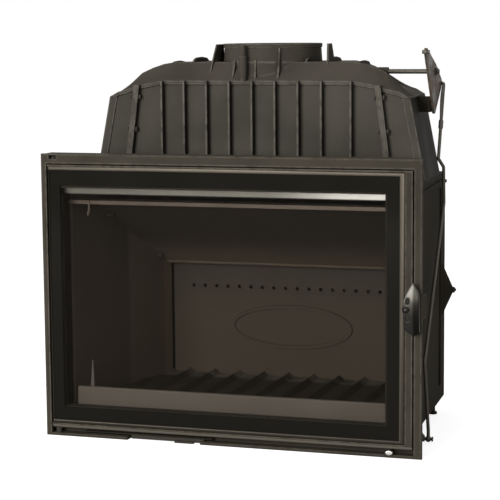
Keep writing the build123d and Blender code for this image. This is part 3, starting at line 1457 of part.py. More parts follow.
yoke_slot_half = arm_pin_radius + yoke_play
yoke_foot = knob_level - knob_rod_radius
yoke_front = frame_depth + knob_travel + yoke_clearance
with BuildPart() as knob_rod:
    bar_y(knob_x, 1, yoke_front + yoke_clearance, knob_level, knob_rod_radius)
    side([(yoke_front, yoke_foot), (arm_pin_depth + yoke_half_depth, yoke_foot),
          (arm_pin_depth + yoke_half_depth, floor_level - 1), (arm_pin_depth - yoke_half_depth, floor_level - 1),
          (arm_pin_depth - yoke_half_depth, yoke_foot + yoke_foot_height),
          (yoke_front, yoke_foot + yoke_foot_height)],
         yoke_x - yoke_thickness / 2, yoke_x + yoke_thickness / 2)
    side([(arm_pin_depth - yoke_slot_half, arm_pin_level - arm_pin_radius - 0.8),
          (arm_pin_depth + yoke_slot_half, arm_pin_level - arm_pin_radius - 0.8),
          (arm_pin_depth + yoke_slot_half, crank_level + arm_length + arm_pin_radius + 0.8),
          (arm_pin_depth - yoke_slot_half, crank_level + arm_length + arm_pin_radius + 0.8)],
         yoke_x - yoke_thickness, yoke_x + yoke_thickness, Mode.SUBTRACT)
save(knob_rod, "knob_rod")

with BuildPart() as control_knob:
    with BuildSketch(Plane.XZ.offset(-at(-knob_stand))):
        with Locations((knob_x, knob_level)):
            Ellipse(knob_width / 2, knob_height / 2)
    extrude(amount=knob_thickness)
    fillet(control_knob.faces().sort_by(Axis.Y)[0].edges(), 1.8)
    bar_y(knob_x, -knob_stand - 1, 1, knob_level, knob_rod_radius)
save(control_knob, "control_knob")
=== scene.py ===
import math

import bpy
from mathutils import Matrix, Vector


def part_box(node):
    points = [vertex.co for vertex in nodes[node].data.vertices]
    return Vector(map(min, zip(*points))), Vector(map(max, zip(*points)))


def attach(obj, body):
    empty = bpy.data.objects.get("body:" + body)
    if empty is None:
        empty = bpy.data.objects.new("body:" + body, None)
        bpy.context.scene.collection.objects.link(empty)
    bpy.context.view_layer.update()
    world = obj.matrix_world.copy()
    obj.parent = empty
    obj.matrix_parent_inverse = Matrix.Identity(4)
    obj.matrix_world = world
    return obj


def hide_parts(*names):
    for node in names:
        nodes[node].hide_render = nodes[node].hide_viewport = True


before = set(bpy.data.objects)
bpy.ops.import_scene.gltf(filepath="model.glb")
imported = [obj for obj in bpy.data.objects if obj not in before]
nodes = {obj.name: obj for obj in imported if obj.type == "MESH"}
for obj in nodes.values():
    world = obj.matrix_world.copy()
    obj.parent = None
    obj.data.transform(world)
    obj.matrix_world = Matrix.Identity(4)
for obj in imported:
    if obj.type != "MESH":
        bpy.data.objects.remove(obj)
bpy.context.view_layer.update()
bpy.ops.object.select_all(action="DESELECT")

# ---- camera ----
# A long lens a little to the right of the insert's front and a little above it, as such an insert is
# shown for sale. It leans by half a degree.
camera_place = Vector((1.11869, -3.33030, 0.84794))
camera_yaw = 0.3120205
camera_pitch = 0.1268787
camera_roll = -0.0084776
camera_lens = 126.867
camera_sensor = 36

ahead = Vector((-math.sin(camera_yaw) * math.cos(camera_pitch),
                math.cos(camera_yaw) * math.cos(camera_pitch), -math.sin(camera_pitch)))
across = Vector((math.cos(camera_yaw), math.sin(camera_yaw), 0))
upward = across.cross(ahead)
view_x = across * math.cos(camera_roll) + upward * math.sin(camera_roll)
view_y = upward * math.cos(camera_roll) - across * math.sin(camera_roll)
camera_turn = Matrix((view_x, view_y, -ahead)).transposed().to_4x4()
bpy.ops.object.camera_add()
camera = bpy.context.active_object
camera.name = "camera"
camera.matrix_world = Matrix.Translation(camera_place) @ camera_turn
camera.data.lens = camera_lens
camera.data.sensor_width = camera_sensor
bpy.context.scene.camera = camera
bpy.context.scene.view_settings.view_transform = "Standard"

# ---- studio ----
# A pale floor that runs out of sight and a white surround. Of the three soft lamps, a strong one stands
# in front on the left, and two weak ones fill in from the right and from above.
floor_reach = 16.0
floor_drop = 0.0004
floor_shade = 0.86
floor_patch = 0.02
patch_noise = 0.7
floor_glow = 0.80
surround_light = 0.26
lamps = (("lamp_left", (-0.8, -4.1, 1.5), 2.0, 178), ("lamp_right", (3.2, -2.2, 1.6), 2.0, 12),
         ("lamp_top", (-0.6, 0.2, 3.4), 2.2, 16))
lamp_aim = Vector((0, 0.1, 0.42))


class Tap:
    """A socket of a shader node, so that sums on it read as plain expressions."""

    mix_inputs = (6, 7)
    mix_result = 2
    samples = {"samples": 4}

    def __init__(self, tree, socket):
        self.tree = tree
        self.socket = socket

    def node(self, kind, settings=None, sockets=None, out=0):
        """Adds a node: its settings are set first, then its sockets."""
        made = self.tree.nodes.new("ShaderNode" + kind)
        for name, value in (settings or {}).items():
            setattr(made, name, value)
        for name, value in (sockets or {}).items():
            if isinstance(value, Tap):
                self.tree.links.new(value.socket, made.inputs[name])
            else:
                made.inputs[name].default_value = value
        return Tap(self.tree, made.outputs[out])

    def sum(self, operation, first, second=0.0):
        return self.node("Math", {"operation": operation}, {0: first, 1: second})

    def __add__(self, other):
        return self.sum("ADD", self, other)

    __radd__ = __add__

    def __sub__(self, other):
        return self.sum("SUBTRACT", self, other)

    def __rsub__(self, other):
        return self.sum("SUBTRACT", other, self)

    def __mul__(self, other):
        return self.sum("MULTIPLY", self, other)

    __rmul__ = __mul__

    def __gt__(self, other):
        return self.sum("GREATER_THAN", self, other)

    def __lt__(self, other):
        return self.sum("LESS_THAN", self, other)

    def most(self, other):
        return self.sum("MAXIMUM", self, other)

    def away(self):
        return self.sum("ABSOLUTE", self)

    def rise(self, low, high):
        """0 below low, 1 above high, with a soft step between."""
        return self.node("MapRange", {"interpolation_type": "SMOOTHSTEP"},
                         {"Value": self, "From Min": low, "From Max": high})

    def noise(self, scale, detail=2.0, stretch=(1, 1, 1)):
        spread = self.node("Mapping", None, {"Vector": self, "Scale": stretch})
        return self.node("TexNoise", None, {"Vector": spread, "Scale": scale, "Detail": detail})

    def paint(self, base, top):
        """Mixes two colours by this value."""
        made = self.node("Mix", {"data_type": "RGBA"}, {0: self}, self.mix_result)
        mixer = made.socket.node
        for number, value in zip(self.mix_inputs, (base, top)):
            if isinstance(value, Tap):
                self.tree.links.new(value.socket, mixer.inputs[number])
            else:
                mixer.inputs[number].default_value = (*value, 1)
        return made

    def part(self, axis):
        """A vector's part along one axis."""
        return self.node("SeparateXYZ", None, {"Vector": self}, axis)

    def facing(self):
        """The way the surface faces."""
        return self.node("NewGeometry", out="Normal")

    def rounded(self, radius):
        """The way the surface faces, with its arrises rounded."""
        return self.node("Bevel", self.samples, {"Radius": radius})

    def turned(self, other):
        """0 where two directions are the same, and more where they part."""
        return 1 - self.node("VectorMath", {"operation": "DOT_PRODUCT"}, {0: self, 1: other}, "Value")

    def relief(self, strength, depth, **soft):
        """The way the surface faces once this height is raised on it."""
        return self.node("Bump", None, {"Strength": strength, "Distance": depth, "Height": self, **soft})


def new_finish(name, **plain):
    """A material with its shader's plain values set. Gives it and a tap on Object coordinates."""
    material = bpy.data.materials.new(name)
    material.use_nodes = True
    shader = material.node_tree.nodes["Principled BSDF"]
    for socket, value in plain.items():
        shader.inputs[socket.replace("_", " ")].default_value = value
    return material, Tap(material.node_tree, None).node("TexCoord", out="Object")


def lay(material, **links):
    """Feeds taps into the material's shader."""
    shader = material.node_tree.nodes["Principled BSDF"]
    for socket, tap in links.items():
        material.node_tree.links.new(tap.socket, shader.inputs[socket.replace("_", " ")])


bpy.ops.mesh.primitive_plane_add(size=floor_reach, location=(0, 0, -floor_drop))
floor = bpy.context.active_object
floor.name = "studio_floor"
bpy.ops.object.transform_apply(location=True, rotation=True, scale=True)
floor_paint, place = new_finish("floor_paint", Roughness=0.9, Specular_IOR_Level=0.1,
                                Emission_Color=(1, 1, 1, 1))
seen = place.node("LightPath", out="Is Camera Ray")
patch = place.noise(patch_noise)
lay(floor_paint, Base_Color=patch.paint((floor_shade,) * 3, (floor_shade + floor_patch,) * 3),
    Emission_Strength=seen * floor_glow)
floor.data.materials.append(floor_paint)

world = bpy.data.worlds.new("surround")
bpy.context.scene.world = world
world.use_nodes = True
ray = Tap(world.node_tree, None).node("LightPath").socket.node
camera_ray, glossy_ray, clear_ray = [Tap(world.node_tree, ray.outputs["Is %s Ray" % kind])
                                     for kind in ("Camera", "Glossy", "Transmission")]
white = camera_ray.most(glossy_ray).most(clear_ray)
strength = white * (1 - surround_light) + surround_light
backdrop = world.node_tree.nodes["Background"]
backdrop.inputs["Color"].default_value = (1, 1, 1, 1)
world.node_tree.links.new(strength.socket, backdrop.inputs["Strength"])

for lamp_name, lamp_place, lamp_size, lamp_power in lamps:
    bpy.ops.object.light_add(type="AREA", location=lamp_place)
    lamp = bpy.context.active_object
    lamp.name = lamp_name
    lamp.data.size = lamp_size
    lamp.data.energy = lamp_power
    lamp.rotation_euler = (lamp_aim - Vector(lamp_place)).to_track_quat("-Z", "Y").to_euler()

# ---- front frame and door frame ----
# Two grey iron castings, ground flat on their faces and sprayed with dull black stove paint. Their
# arrises are lighter as rubbed paint and as painted highlights, sand grain shows through, and the door's
# lower edge gets the worn colour as scuffed paint and as a painted highlight.
stove_black = (0.038, 0.0328, 0.0252)
stove_worn_and_highlight = (0.16, 0.142, 0.115)
stove_grain = 0.00012
stove_arris = 0.0032
door_scuff_and_highlight = 0.0235
scuff_and_highlight_soft = 0.001
scuff_and_highlight_share = 0.9
paint_shine = 0.008
axis_x, axis_y, axis_z = range(3)
mottle_noise, mottle_span, mottle_tone, mottle_rough = (9, 4), (0.3, 0.7), 1.35, 0.12
dust_noise, dust_span, dust_tone = (25, 4), (0.4, 1.0), 3.2
rub_and_highlight_noise, rub_and_highlight_span, rub_and_highlight_share = (60, 3), (0.25, 0.6), 0.8
arris_span = (0.01, 0.12)
open_span, corner_span = (0.7, 0.95), (0.75, 0.4)
sideways_span = (0.62, 0.9)
shade_tone = 0.3
speck_noise, speck_rough = (420, 2), 0.15
pebble_noise, pebble_share = (150, 3), 0.8
cast_relief = 0.6


def shaded(colour, share):
    """A colour made lighter or darker."""
    return [part * share for part in colour]


def cast_finish(name, base, worn_and_highlight, grain, rough=0.48, edge=0.0022, dust=0.25, ends=0.0, scuff_and_highlight=0.0,
                corner_shade=0.0):
    """Painted cast iron: sand grain, slow mottling, arrises lighter as rubbed paint and as painted
    highlights, and a little dust on what faces up. What faces sideways can be painted darker as painted
    shade, so can the corners, and below the scuff level the worn colour is painted on as scuffed paint and
    as a painted highlight."""
    material, place = new_finish(name, Specular_IOR_Level=paint_shine)
    soft = place.rounded(edge)
    facing = place.facing()
    arris = place.rounded(edge * 2).turned(facing).rise(*arris_span)
    open_air = place.node("AmbientOcclusion", Tap.samples, {"Distance": edge * 3}, "AO")
    rubbed_and_highlight = arris * place.noise(*rub_and_highlight_noise).rise(*rub_and_highlight_span) * open_air.rise(*open_span)
    up = facing.part(axis_z).rise(*dust_span)
    mottle = place.noise(*mottle_noise).rise(*mottle_span)
    speck = place.noise(*speck_noise)
    tone = mottle.paint(base, shaded(base, mottle_tone))
    tone = (up * dust * place.noise(*dust_noise)).paint(tone, shaded(base, dust_tone))
    # What faces sideways is painted darker by the share ends, as painted shade.
    sideways = facing.part(axis_x).away().rise(*sideways_span)
    tone = (sideways * ends).paint(tone, shaded(base, shade_tone))
    # Corners are painted darker by this share, as painted shade.
    tone = (open_air.rise(*corner_span) * corner_shade).paint(tone, shaded(base, shade_tone))
    # Below this level the door's lower edge gets the worn colour, as scuffed paint and as a painted
    # highlight.
    if scuff_and_highlight:
        rubbed_and_highlight = rubbed_and_highlight.most(place.part(axis_z).rise(scuff_and_highlight + scuff_and_highlight_soft, scuff_and_highlight - scuff_and_highlight_soft) * scuff_and_highlight_share)
    # Arrises get the worn colour, which stands for rubbed paint and for painted highlights on them.
    tone = (rubbed_and_highlight * rub_and_highlight_share).paint(tone, worn_and_highlight)
    height = speck + place.noise(*pebble_noise) * pebble_share
    lay(material, Base_Color=tone, Normal=height.relief(cast_relief, grain, Normal=soft),
        Roughness=rough + mottle * mottle_rough + (speck - 0.5) * speck_rough)
    return material


def paint_nodes(material, *names):
    """Gives the CAD nodes of these names one material."""
    for name in names:
        nodes[name].data.materials.clear()
        nodes[name].data.materials.append(material)


frame_paint = cast_finish("frame_paint", stove_black, stove_worn_and_highlight, stove_grain, edge=stove_arris)
paint_nodes(frame_paint, "front_frame")
door_paint = cast_finish("door_paint", stove_black, stove_worn_and_highlight, stove_grain, edge=stove_arris,
                         scuff_and_highlight=door_scuff_and_highlight)
paint_nodes(door_paint, "door_frame")

# ---- body shell ----
# Flanged sheet steel sides, a back wall and a lid, bolted to the frame and painted like it. The sheet
# has faint rolling streaks and grey dust.
sheet_black = (0.024, 0.0205, 0.0150)
sheet_dust = (0.075, 0.065, 0.051)
sheet_arris = 0.0015
sheet_rough = 0.52
streak_noise, streak_across, streak_along = (20, 4), 6.0, 0.35
streak_tones, streak_height = (0.8, 1.3), 0.7
cloud_noise, cloud_span, cloud_share, cloud_rough = (6, 5), (0.35, 0.7), 0.22, 0.15
lid_span, lid_share = (0.3, 1.0), 0.35
peel_noise, peel_relief, peel_depth = (300, 2), 0.35, 0.0002


def sheet_finish(name, base, dusty, streak_axis):
    """Painted sheet steel: streaks along one axis, dust that settles in patches, soft arrises."""
    material, place = new_finish(name, Specular_IOR_Level=paint_shine)
    soft = place.rounded(sheet_arris)
    facing = place.facing()
    stretch = [streak_across] * 3
    stretch[streak_axis] = streak_along
    streak = place.noise(*streak_noise, stretch)
    cloud = place.noise(*cloud_noise).rise(*cloud_span)
    up = facing.part(axis_z).rise(*lid_span)
    tone = streak.paint(*[shaded(base, share) for share in streak_tones])
    tone = (cloud * cloud_share + up * lid_share).paint(tone, dusty)
    height = place.noise(*peel_noise) + streak * streak_height
    lay(material, Base_Color=tone, Normal=height.relief(peel_relief, peel_depth, Normal=soft),
        Roughness=sheet_rough + cloud * cloud_rough)
    return material


sheet_paint = sheet_finish("sheet_paint", sheet_black, sheet_dust, axis_z)
paint_nodes(sheet_paint, "side_wall_left", "side_wall_right", "back_wall")
lid_paint = sheet_finish("lid_paint", sheet_black, sheet_dust, axis_x)
paint_nodes(lid_paint, "body_top", "base_plate", "air_duct", "slide_guide", "lever_bracket")

# ---- firebox lining ----
# Loose grey iron plates that line the fire: sides, back with its air holes and oval, floor with ridges,
# and the tilted baffle. Heat has turned them warm brown, and soot darkens them towards the top; on the
# back plate that darkening is a painted shadow of the baffle. Zones of the left lining and the baffle
# are painted lighter as painted light, and the arrises darker as painted shade.
lining_warm = (0.115, 0.087, 0.058)
lining_soot_and_shadow = (0.042, 0.033, 0.026)
lining_ash = (0.20, 0.168, 0.128)
lining_shine, lining_arris = 0.25, 0.0015
lining_rough, flake_rough = 0.62, 0.2
side_soot = (0.10, 0.48)
back_baffle_shadow = (0.17, 0.36)
# Depths between which the left lining and the baffle are painted lighter, as painted light.
left_lit_zones = ((0.235, 0.255, 0.2), (0.375, 0.395, 0.28))
baffle_lit_zones = ((0.26, 0.42, 0.75),)
lit_zone_tone = 4
back_seam, seam_half, seam_share, seam_tone = 0.2526, 0.0006, 0.7, 0.3
floor_swept, swept_soft = 0.385, 0.03
band_noise, band_span, band_tone = (9, 2, (1, 1, 0.12)), (0.3, 0.7), 1.5
flake_noise, flake_span = (14, 4), (0.25, 0.6)
soot_and_shadow_least, soot_and_shadow_flakes = 0.45, 0.5
arris_shade_share, arris_shade_tone = 0.6, 0.25
ash_span = (0.2, 0.9)
fine_noise, rough_noise, rough_share = (260, 3), (60, 3), 0.7
lining_relief, lining_depth = 0.5, 0.00025


def hearth_finish(name, base, ash=0.0, bands=0.3, seam=None, swept=None, soot_and_shadow_span=side_soot, lit_zones=()):
    """Bare iron from inside a stove: brown heat tint, upright bands of tone, painted shade on the arrises,
    darkening above, which is soot and on the back plate a painted shadow of the baffle, and ash below. A
    seam is a fine groove at one level, a swept floor keeps its ash only behind one depth, and each lit
    zone gives two depths between which the plate is painted lighter as painted light, and how far."""
    material, place = new_finish(name, Specular_IOR_Level=lining_shine)
    soft = place.rounded(lining_arris)
    facing = place.facing()
    level = place.part(axis_z)
    band = place.noise(*band_noise)
    flakes = place.noise(*flake_noise)
    # Darker towards the top: soot, and on the back plate a painted shadow of the baffle.
    soot_and_shadow = level.rise(*soot_and_shadow_span) * (soot_and_shadow_least + flakes * soot_and_shadow_flakes)
    tone = (band.rise(*band_span) * bands).paint(base, shaded(base, band_tone))
    tone = soot_and_shadow.paint(tone, lining_soot_and_shadow)
    # Between two depths the plate is painted lighter, as painted light.
    for near, far, lift in lit_zones:
        tone = (place.part(axis_y).rise(near, far) * lift).paint(tone, shaded(base, lit_zone_tone))
    # Arrises are painted darker, as painted shade.
    arris_shade = soft.turned(facing).rise(*arris_span)
    tone = (arris_shade * arris_shade_share).paint(tone, shaded(base, arris_shade_tone))
    up = facing.part(axis_z).rise(*ash_span)
    if swept:
        up = up * place.part(axis_y).rise(swept - swept_soft, swept)
    tone = (up * ash * flakes.rise(*flake_span)).paint(tone, lining_ash)
    height = place.noise(*fine_noise) + place.noise(*rough_noise) * rough_share
    if seam:
        groove = (level - seam).away() < seam_half
        tone = (groove * seam_share).paint(tone, shaded(base, seam_tone))
        height = height - groove
    lay(material, Base_Color=tone, Normal=height.relief(lining_relief, lining_depth, Normal=soft),
        Roughness=lining_rough + flakes * flake_rough)
    return material


left_iron = hearth_finish("left_iron", shaded(lining_warm, 0.7), lit_zones=left_lit_zones)
paint_nodes(left_iron, "side_lining_left")
right_iron = hearth_finish("right_iron", shaded(lining_warm, 0.42), bands=0.5)
paint_nodes(right_iron, "side_lining_right", "baffle_pins")
baffle_iron = hearth_finish("baffle_iron", shaded(lining_warm, 0.45), bands=0.15, lit_zones=baffle_lit_zones)
paint_nodes(baffle_iron, "baffle")
# The back plate's darkening towards its top is a painted shadow of the baffle.
back_iron = hearth_finish("back_iron", shaded(lining_warm, 0.66), bands=0.15, seam=back_seam,
                          soot_and_shadow_span=back_baffle_shadow)
paint_nodes(back_iron, "back_lining")
floor_iron = hearth_finish("floor_iron", shaded(lining_warm, 0.28), ash=0.9, swept=floor_swept)
paint_nodes(floor_iron, "hearth_floor")

# ---- log fender ----
# A straight iron bar in front of the fire with a pointed post at each end. It catches the light from
# the room, and its paint has burnt off to a pale dusty beige.
fender_dust = (0.145, 0.120, 0.093)
post_tip = 0.0012
post_belly = 0.0026
post_foot = 0.004
post_shoulder = 0.01
post_neck = 0.022
post_crown = 0.001
post_arris = 0.0012
smooth_turn = math.radians(40)
bevel_turn = math.radians(30)


def pick(*pieces):
    """Makes these the only selected objects, and the first of them the active one."""
    bpy.ops.object.select_all(action="DESELECT")
    for piece in pieces:
        piece.select_set(True)
    if pieces:
        bpy.context.view_layer.objects.active = pieces[0]


def new_box(name, low, high):
    """A box between two corners, the only selected object, to be shaped further."""
    pick()
    low, high = Vector(low), Vector(high)
    bpy.ops.mesh.primitive_cube_add(size=1, location=(low + high) / 2)
    box = bpy.context.active_object
    box.name = name
    box.scale = high - low
    bpy.ops.object.transform_apply(location=True, rotation=True, scale=True)
    return box


def soften(piece, width, segments=3):
    """Rounds a piece's edges and smooths its shading."""
    pick(piece)
    bevel = piece.modifiers.new("soft", "BEVEL")
    bevel.width = width
    bevel.segments = segments
    bevel.limit_method = "ANGLE"
    bevel.angle_limit = bevel_turn
    bpy.ops.object.modifier_apply(modifier="soft")
    bpy.ops.object.shade_smooth_by_angle(angle=smooth_turn)


def weld(pieces, name):
    """Joins pieces into one object at the origin."""
    pick(*pieces)
    bpy.ops.object.join()
    bpy.ops.object.transform_apply(location=True, rotation=True, scale=True)
    pieces[0].name = name
    return pieces[0]


def place_piece(piece, body, slot, *stands_for):
    """Ties a finished piece to its body, in place of the CAD nodes named. The slot is not used."""
    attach(piece, body)
    if stands_for:
        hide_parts(*stands_for)


post_low, post_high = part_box("andiron_posts")
post_half = (post_high.y - post_low.y) / 2
post_y = post_low.y + post_half
fender_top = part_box("log_fender")[1].z
fender_iron = hearth_finish("fender_iron", fender_dust, ash=0.6, bands=0.15)
paint_nodes(fender_iron, "log_fender")
posts = []
for post_x in (post_low.x + post_half, post_high.x - post_half):
    post = new_box("post", (post_x - post_half, post_low.y, post_low.z),
                   (post_x + post_half, post_high.y, post_high.z))
    for level in (post_foot, post_neck):
        bpy.ops.object.mode_set(mode="EDIT")
        bpy.ops.mesh.select_all(action="SELECT")
        bpy.ops.mesh.bisect(plane_co=(0, 0, fender_top + level), plane_no=(0, 0, 1))
        bpy.ops.object.mode_set(mode="OBJECT")
    for vertex in post.data.vertices:
        half = post_half
        if vertex.co.z > fender_top + post_shoulder:
            half = post_belly
        if vertex.co.z > post_high.z - post_crown:
            half = post_tip
        vertex.co.x = post_x + (vertex.co.x - post_x) * half / post_half
        vertex.co.y = post_y + (vertex.co.y - post_y) * half / post_half
    soften(post, post_arris)
    posts.append(post)
posts = weld(posts, "fender_posts")
posts.data.materials.append(fender_iron)
place_piece(posts, "body", "firebox_iron", "andiron_posts")

# ---- air wash lip ----
# A folded strip of bright stainless steel that sends air down the glass, and behind it a plain bar with
# a small hook. Both are brushed along their length.
lip_steel = (0.135, 0.127, 0.106)
lip_tone_change = (0.08, 0.26, (0.42, 0.40, 0.36))
bar_steel = (0.10, 0.078, 0.060)
brush_noise, brush_stretch, brush_rough = (900, 2), 0.02, 0.12
stain_noise, stain_span, stain_share, stain_tone, stain_rough = (12, 4), (0.45, 0.8), 0.3, 0.6, 0.08
brush_relief, brush_depth = 0.25, 0.00005


def bright_finish(name, base, rough, axis, edge=0.0008, tone_change=None):
    """Brushed steel: fine lines along one axis, slow changes of gloss and a little brown tarnish, which
    can give way to another tone between two places along X."""
    material, place = new_finish(name, Metallic=1.0)
    stretch = [1.0] * 3
    stretch[axis] = brush_stretch
    brushed = place.noise(*brush_noise, stretch)
    stain = place.noise(*stain_noise)
    soft = place.rounded(edge)
    tone = (stain.rise(*stain_span) * stain_share).paint(base, shaded(base, stain_tone))
    if tone_change:
        change_start, change_end, changed_tone = tone_change
        tone = place.part(axis_x).rise(change_start, change_end).paint(tone, changed_tone)
    lay(material, Base_Color=tone, Normal=brushed.relief(brush_relief, brush_depth, Normal=soft),
        Roughness=rough + brushed * brush_rough + stain * stain_rough)
    return material


# The lip's tone turns lighter towards its right end.
paint_nodes(bright_finish("lip_steel", lip_steel, 0.26, axis_x, tone_change=lip_tone_change), "air_wash_lip")
paint_nodes(bright_finish("bar_steel", bar_steel, 0.4, axis_x), "low_bar", "bar_hook")

# ---- door glass and bead ----
# Clear ceramic glass with a wide black border printed on its inner face, held by a polished bead with
# fine screws. The bead runs to the door's left edge.
border_black = (0.010, 0.0092, 0.0070)
print_left = 0.0245
print_right = 0.027
print_bottom = 0.0285
print_top = 0.032
glass_shine = 0.035
glass_rough = 0.06
haze_tint = (0.014, 0.012, 0.010)
haze = 0.16
smear_noise, smear_span, smear_haze, smear_rough = (7, 5), (0.4, 0.8), 0.03, 0.1
dot_noise, dot_rough = (500, 2), 0.02
bead_steel = (0.044, 0.038, 0.030)
bead_left = 0.004
bead_right = 0.012
bead_top = 0.009
bead_bottom = 0.008
bead_round = 0.0026
bead_face = 0.0002
cut_past = 0.01

glass_low, glass_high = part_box("door_glass")
glass_paint, place = new_finish("ceramic_glass", Specular_IOR_Level=glass_shine)
x, z = place.part(axis_x), place.part(axis_z)
clear = ((x > glass_low.x + print_left) * (x < glass_high.x - print_right)
         * (z > glass_low.z + print_bottom) * (z < glass_high.z - print_top))
smear = place.noise(*smear_noise).rise(*smear_span)
dots = place.noise(*dot_noise)
lay(glass_paint, Base_Color=clear.paint(border_black, haze_tint),
    Alpha=1 - clear * (1 - haze - smear * smear_haze),
    Roughness=glass_rough + smear * smear_rough + dots * dot_rough)
paint_nodes(glass_paint, "door_glass")


def cut_away(piece, low, high):
    """Cuts the space between two corners out of a piece."""
    tool = new_box("tool", low, high)
    cut = piece.modifiers.new("cut", "BOOLEAN")
    cut.operation = "DIFFERENCE"
    cut.object = tool
    pick(piece)
    bpy.ops.object.modifier_apply(modifier="cut")
    bpy.data.objects.remove(tool)


bead_low, bead_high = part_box("glass_bead")
bead = new_box("glass_bead_moulding", bead_low, bead_high)
cut_away(bead, (bead_low.x + bead_left, bead_low.y - cut_past, bead_low.z + bead_bottom),
         (bead_high.x - bead_right, bead_high.y + cut_past, bead_high.z - bead_top))
bpy.ops.object.mode_set(mode="EDIT")
bpy.ops.mesh.select_all(action="DESELECT")
bpy.ops.object.mode_set(mode="OBJECT")
for edge in bead.data.edges:
    ends = [bead.data.vertices[number].co for number in edge.vertices]
    edge.select = all(end.y < bead_low.y + bead_face for end in ends)
bpy.ops.object.mode_set(mode="EDIT")
bpy.ops.mesh.bevel(offset=bead_round, segments=5, profile=0.5)
bpy.ops.object.mode_set(mode="OBJECT")
bpy.ops.object.shade_smooth_by_angle(angle=smooth_turn)
bead.data.materials.append(bright_finish("bead_steel", bead_steel, 0.28, axis_x))
place_piece(bead, "door", "polished_steel", "glass_bead")

# ---- screws and bolts ----
# Turned steel fasteners, nuts, pins and the latch's small parts, blackened in hot oil. Their corners are
# lighter where the black is rubbed through, and as painted highlights.
bolt_black = (0.035, 0.031, 0.026)
bolt_worn_and_highlight = (0.14, 0.125, 0.105)
bolt_grain = 0.00005
bolt_paint = cast_finish("bolt_paint", bolt_black, bolt_worn_and_highlight, bolt_grain, rough=0.4, edge=0.0008)
paint_nodes(bolt_paint, "frame_bolts", "hood_seam_bolts", "hood_base_bolts", "bead_screws",
            "collar_screws", "disc_screws", "boss_cap_nuts", "levelling_bolts", "levelling_nuts",
            "cam_nut", "hinge_pins", "latch_cam", "latch_keeper")

# ---- handle ----
# A leaf-shaped lever of satin nickel-plated steel, bowed away from the door, with two slots and a domed
# nut on its spindle. Left of a line along the blade it is painted lighter, as a painted highlight.
handle_bright = (0.012, 0.0115, 0.0095)
handle_highlight = (0.390, 0.384, (0.042, 0.039, 0.035))
handle_nickel = bright_finish("handle_nickel", handle_bright, 0.14, axis_z, edge=0.004,
                              tone_change=handle_highlight)
paint_nodes(handle_nickel, "handle_blade", "handle_spindle", "handle_nut")

# ---- air slide ----
# A flat bar of cold-drawn steel that slides in a guide under the door to meter the fire's air. Its
# finger tab stands in the notch of the frame's lower lip.
slide_steel = (0.045, 0.040, 0.033)
paint_nodes(bright_finish("slide_steel", slide_steel, 0.42, axis_x), "air_slide")

# ---- hood and dome ----
# The smoke hood is cast in sections that are bolted together at flanged seams. Ribs stiffen its front,
# and the shallow dome above carries fins. The castings are duller and sandier than the frame. Their
# arrises are lighter as rubbed paint and as painted highlights, and the hood's sideways faces and the
# corners of hood and dome are painted darker as painted shade.
hood_black = (0.056, 0.0505, 0.0418)
hood_worn_and_highlight = (0.20, 0.182, 0.152)
hood_grain = 0.00022
dome_black = (0.049, 0.0428, 0.0344)
hood_paint = cast_finish("hood_paint", hood_black, hood_worn_and_highlight, hood_grain, rough=0.5, edge=0.0030,
                         dust=0.1, ends=0.7, corner_shade=0.7)
paint_nodes(hood_paint, "hood_left", "hood_right", "hood_centre", "hood_back")
dome_paint = cast_finish("dome_paint", dome_black, hood_worn_and_highlight, hood_grain, rough=0.5, edge=0.0030,
                         dust=0.1, corner_shade=0.7)
paint_nodes(dome_paint, "dome", "dome_stud")

# ---- flue collar and damper ----
# A turned cast iron ring for the flue pipe, screwed down on the dome. Inside it the damper's disc turns
# on its shaft, whose bushes are cast too.
collar_grain = 0.00018
# Its arrises are lighter as rubbed paint and as painted highlights, and its corners are painted darker as
# painted shade.
collar_paint = cast_finish("collar_paint", dome_black, hood_worn_and_highlight, collar_grain, rough=0.46, edge=0.0024,
                           corner_shade=0.5)
paint_nodes(collar_paint, "flue_collar", "damper_disc", "shaft_bush", "crank_bush")

# ---- damper linkage ----
# The lever is a flame-cut plate with a thin tan bloom of rust. The shaft, the link rod and its crimped
# sleeve are drawn steel, greyer where they are handled.
rust_tan = (0.105, 0.072, 0.047)
rust_dark = (0.035, 0.025, 0.018)
steel_grey = (0.075, 0.070, 0.058)
knob_steel = (0.66, 0.63, 0.60)
rust_noise, rust_span, rust_rough, rust_dull = (55, 5), (0.35, 0.6), 0.3, 0.5
pit_noise, pit_span, pit_share = (320, 3), (0.5, 0.75), 0.5
linkage_shine, linkage_arris = 0.4, 0.0008
linkage_rough, linkage_metal = 0.42, 0.6
pit_relief, pit_depth = 0.5, 0.00015


def rusty_finish(name, steel, bloom):
    """Bare steel with a bloom of rust over it in patches, rough where it has rusted."""
    material, place = new_finish(name, Specular_IOR_Level=linkage_shine)
    soft = place.rounded(linkage_arris)
    rust = place.noise(*rust_noise).rise(*rust_span) * bloom
    pit = place.noise(*pit_noise).rise(*pit_span)
    tone = rust.paint(steel, rust_tan)
    tone = (pit * pit_share).paint(tone, rust_dark)
    lay(material, Base_Color=tone, Normal=(1 - pit).relief(pit_relief, pit_depth, Normal=soft),
        Roughness=linkage_rough + rust * rust_rough, Metallic=linkage_metal - rust * rust_dull)
    return material


paint_nodes(rusty_finish("lever_plate_steel", steel_grey, 1.0), "damper_lever")
rod_steel = rusty_finish("rod_steel", steel_grey, 0.35)
paint_nodes(rod_steel, "damper_shaft", "link_rod", "rod_sleeve", "lever_nut", "damper_crank", "knob_rod")
paint_nodes(bright_finish("knob_steel", knob_steel, 0.22, axis_z), "control_knob")

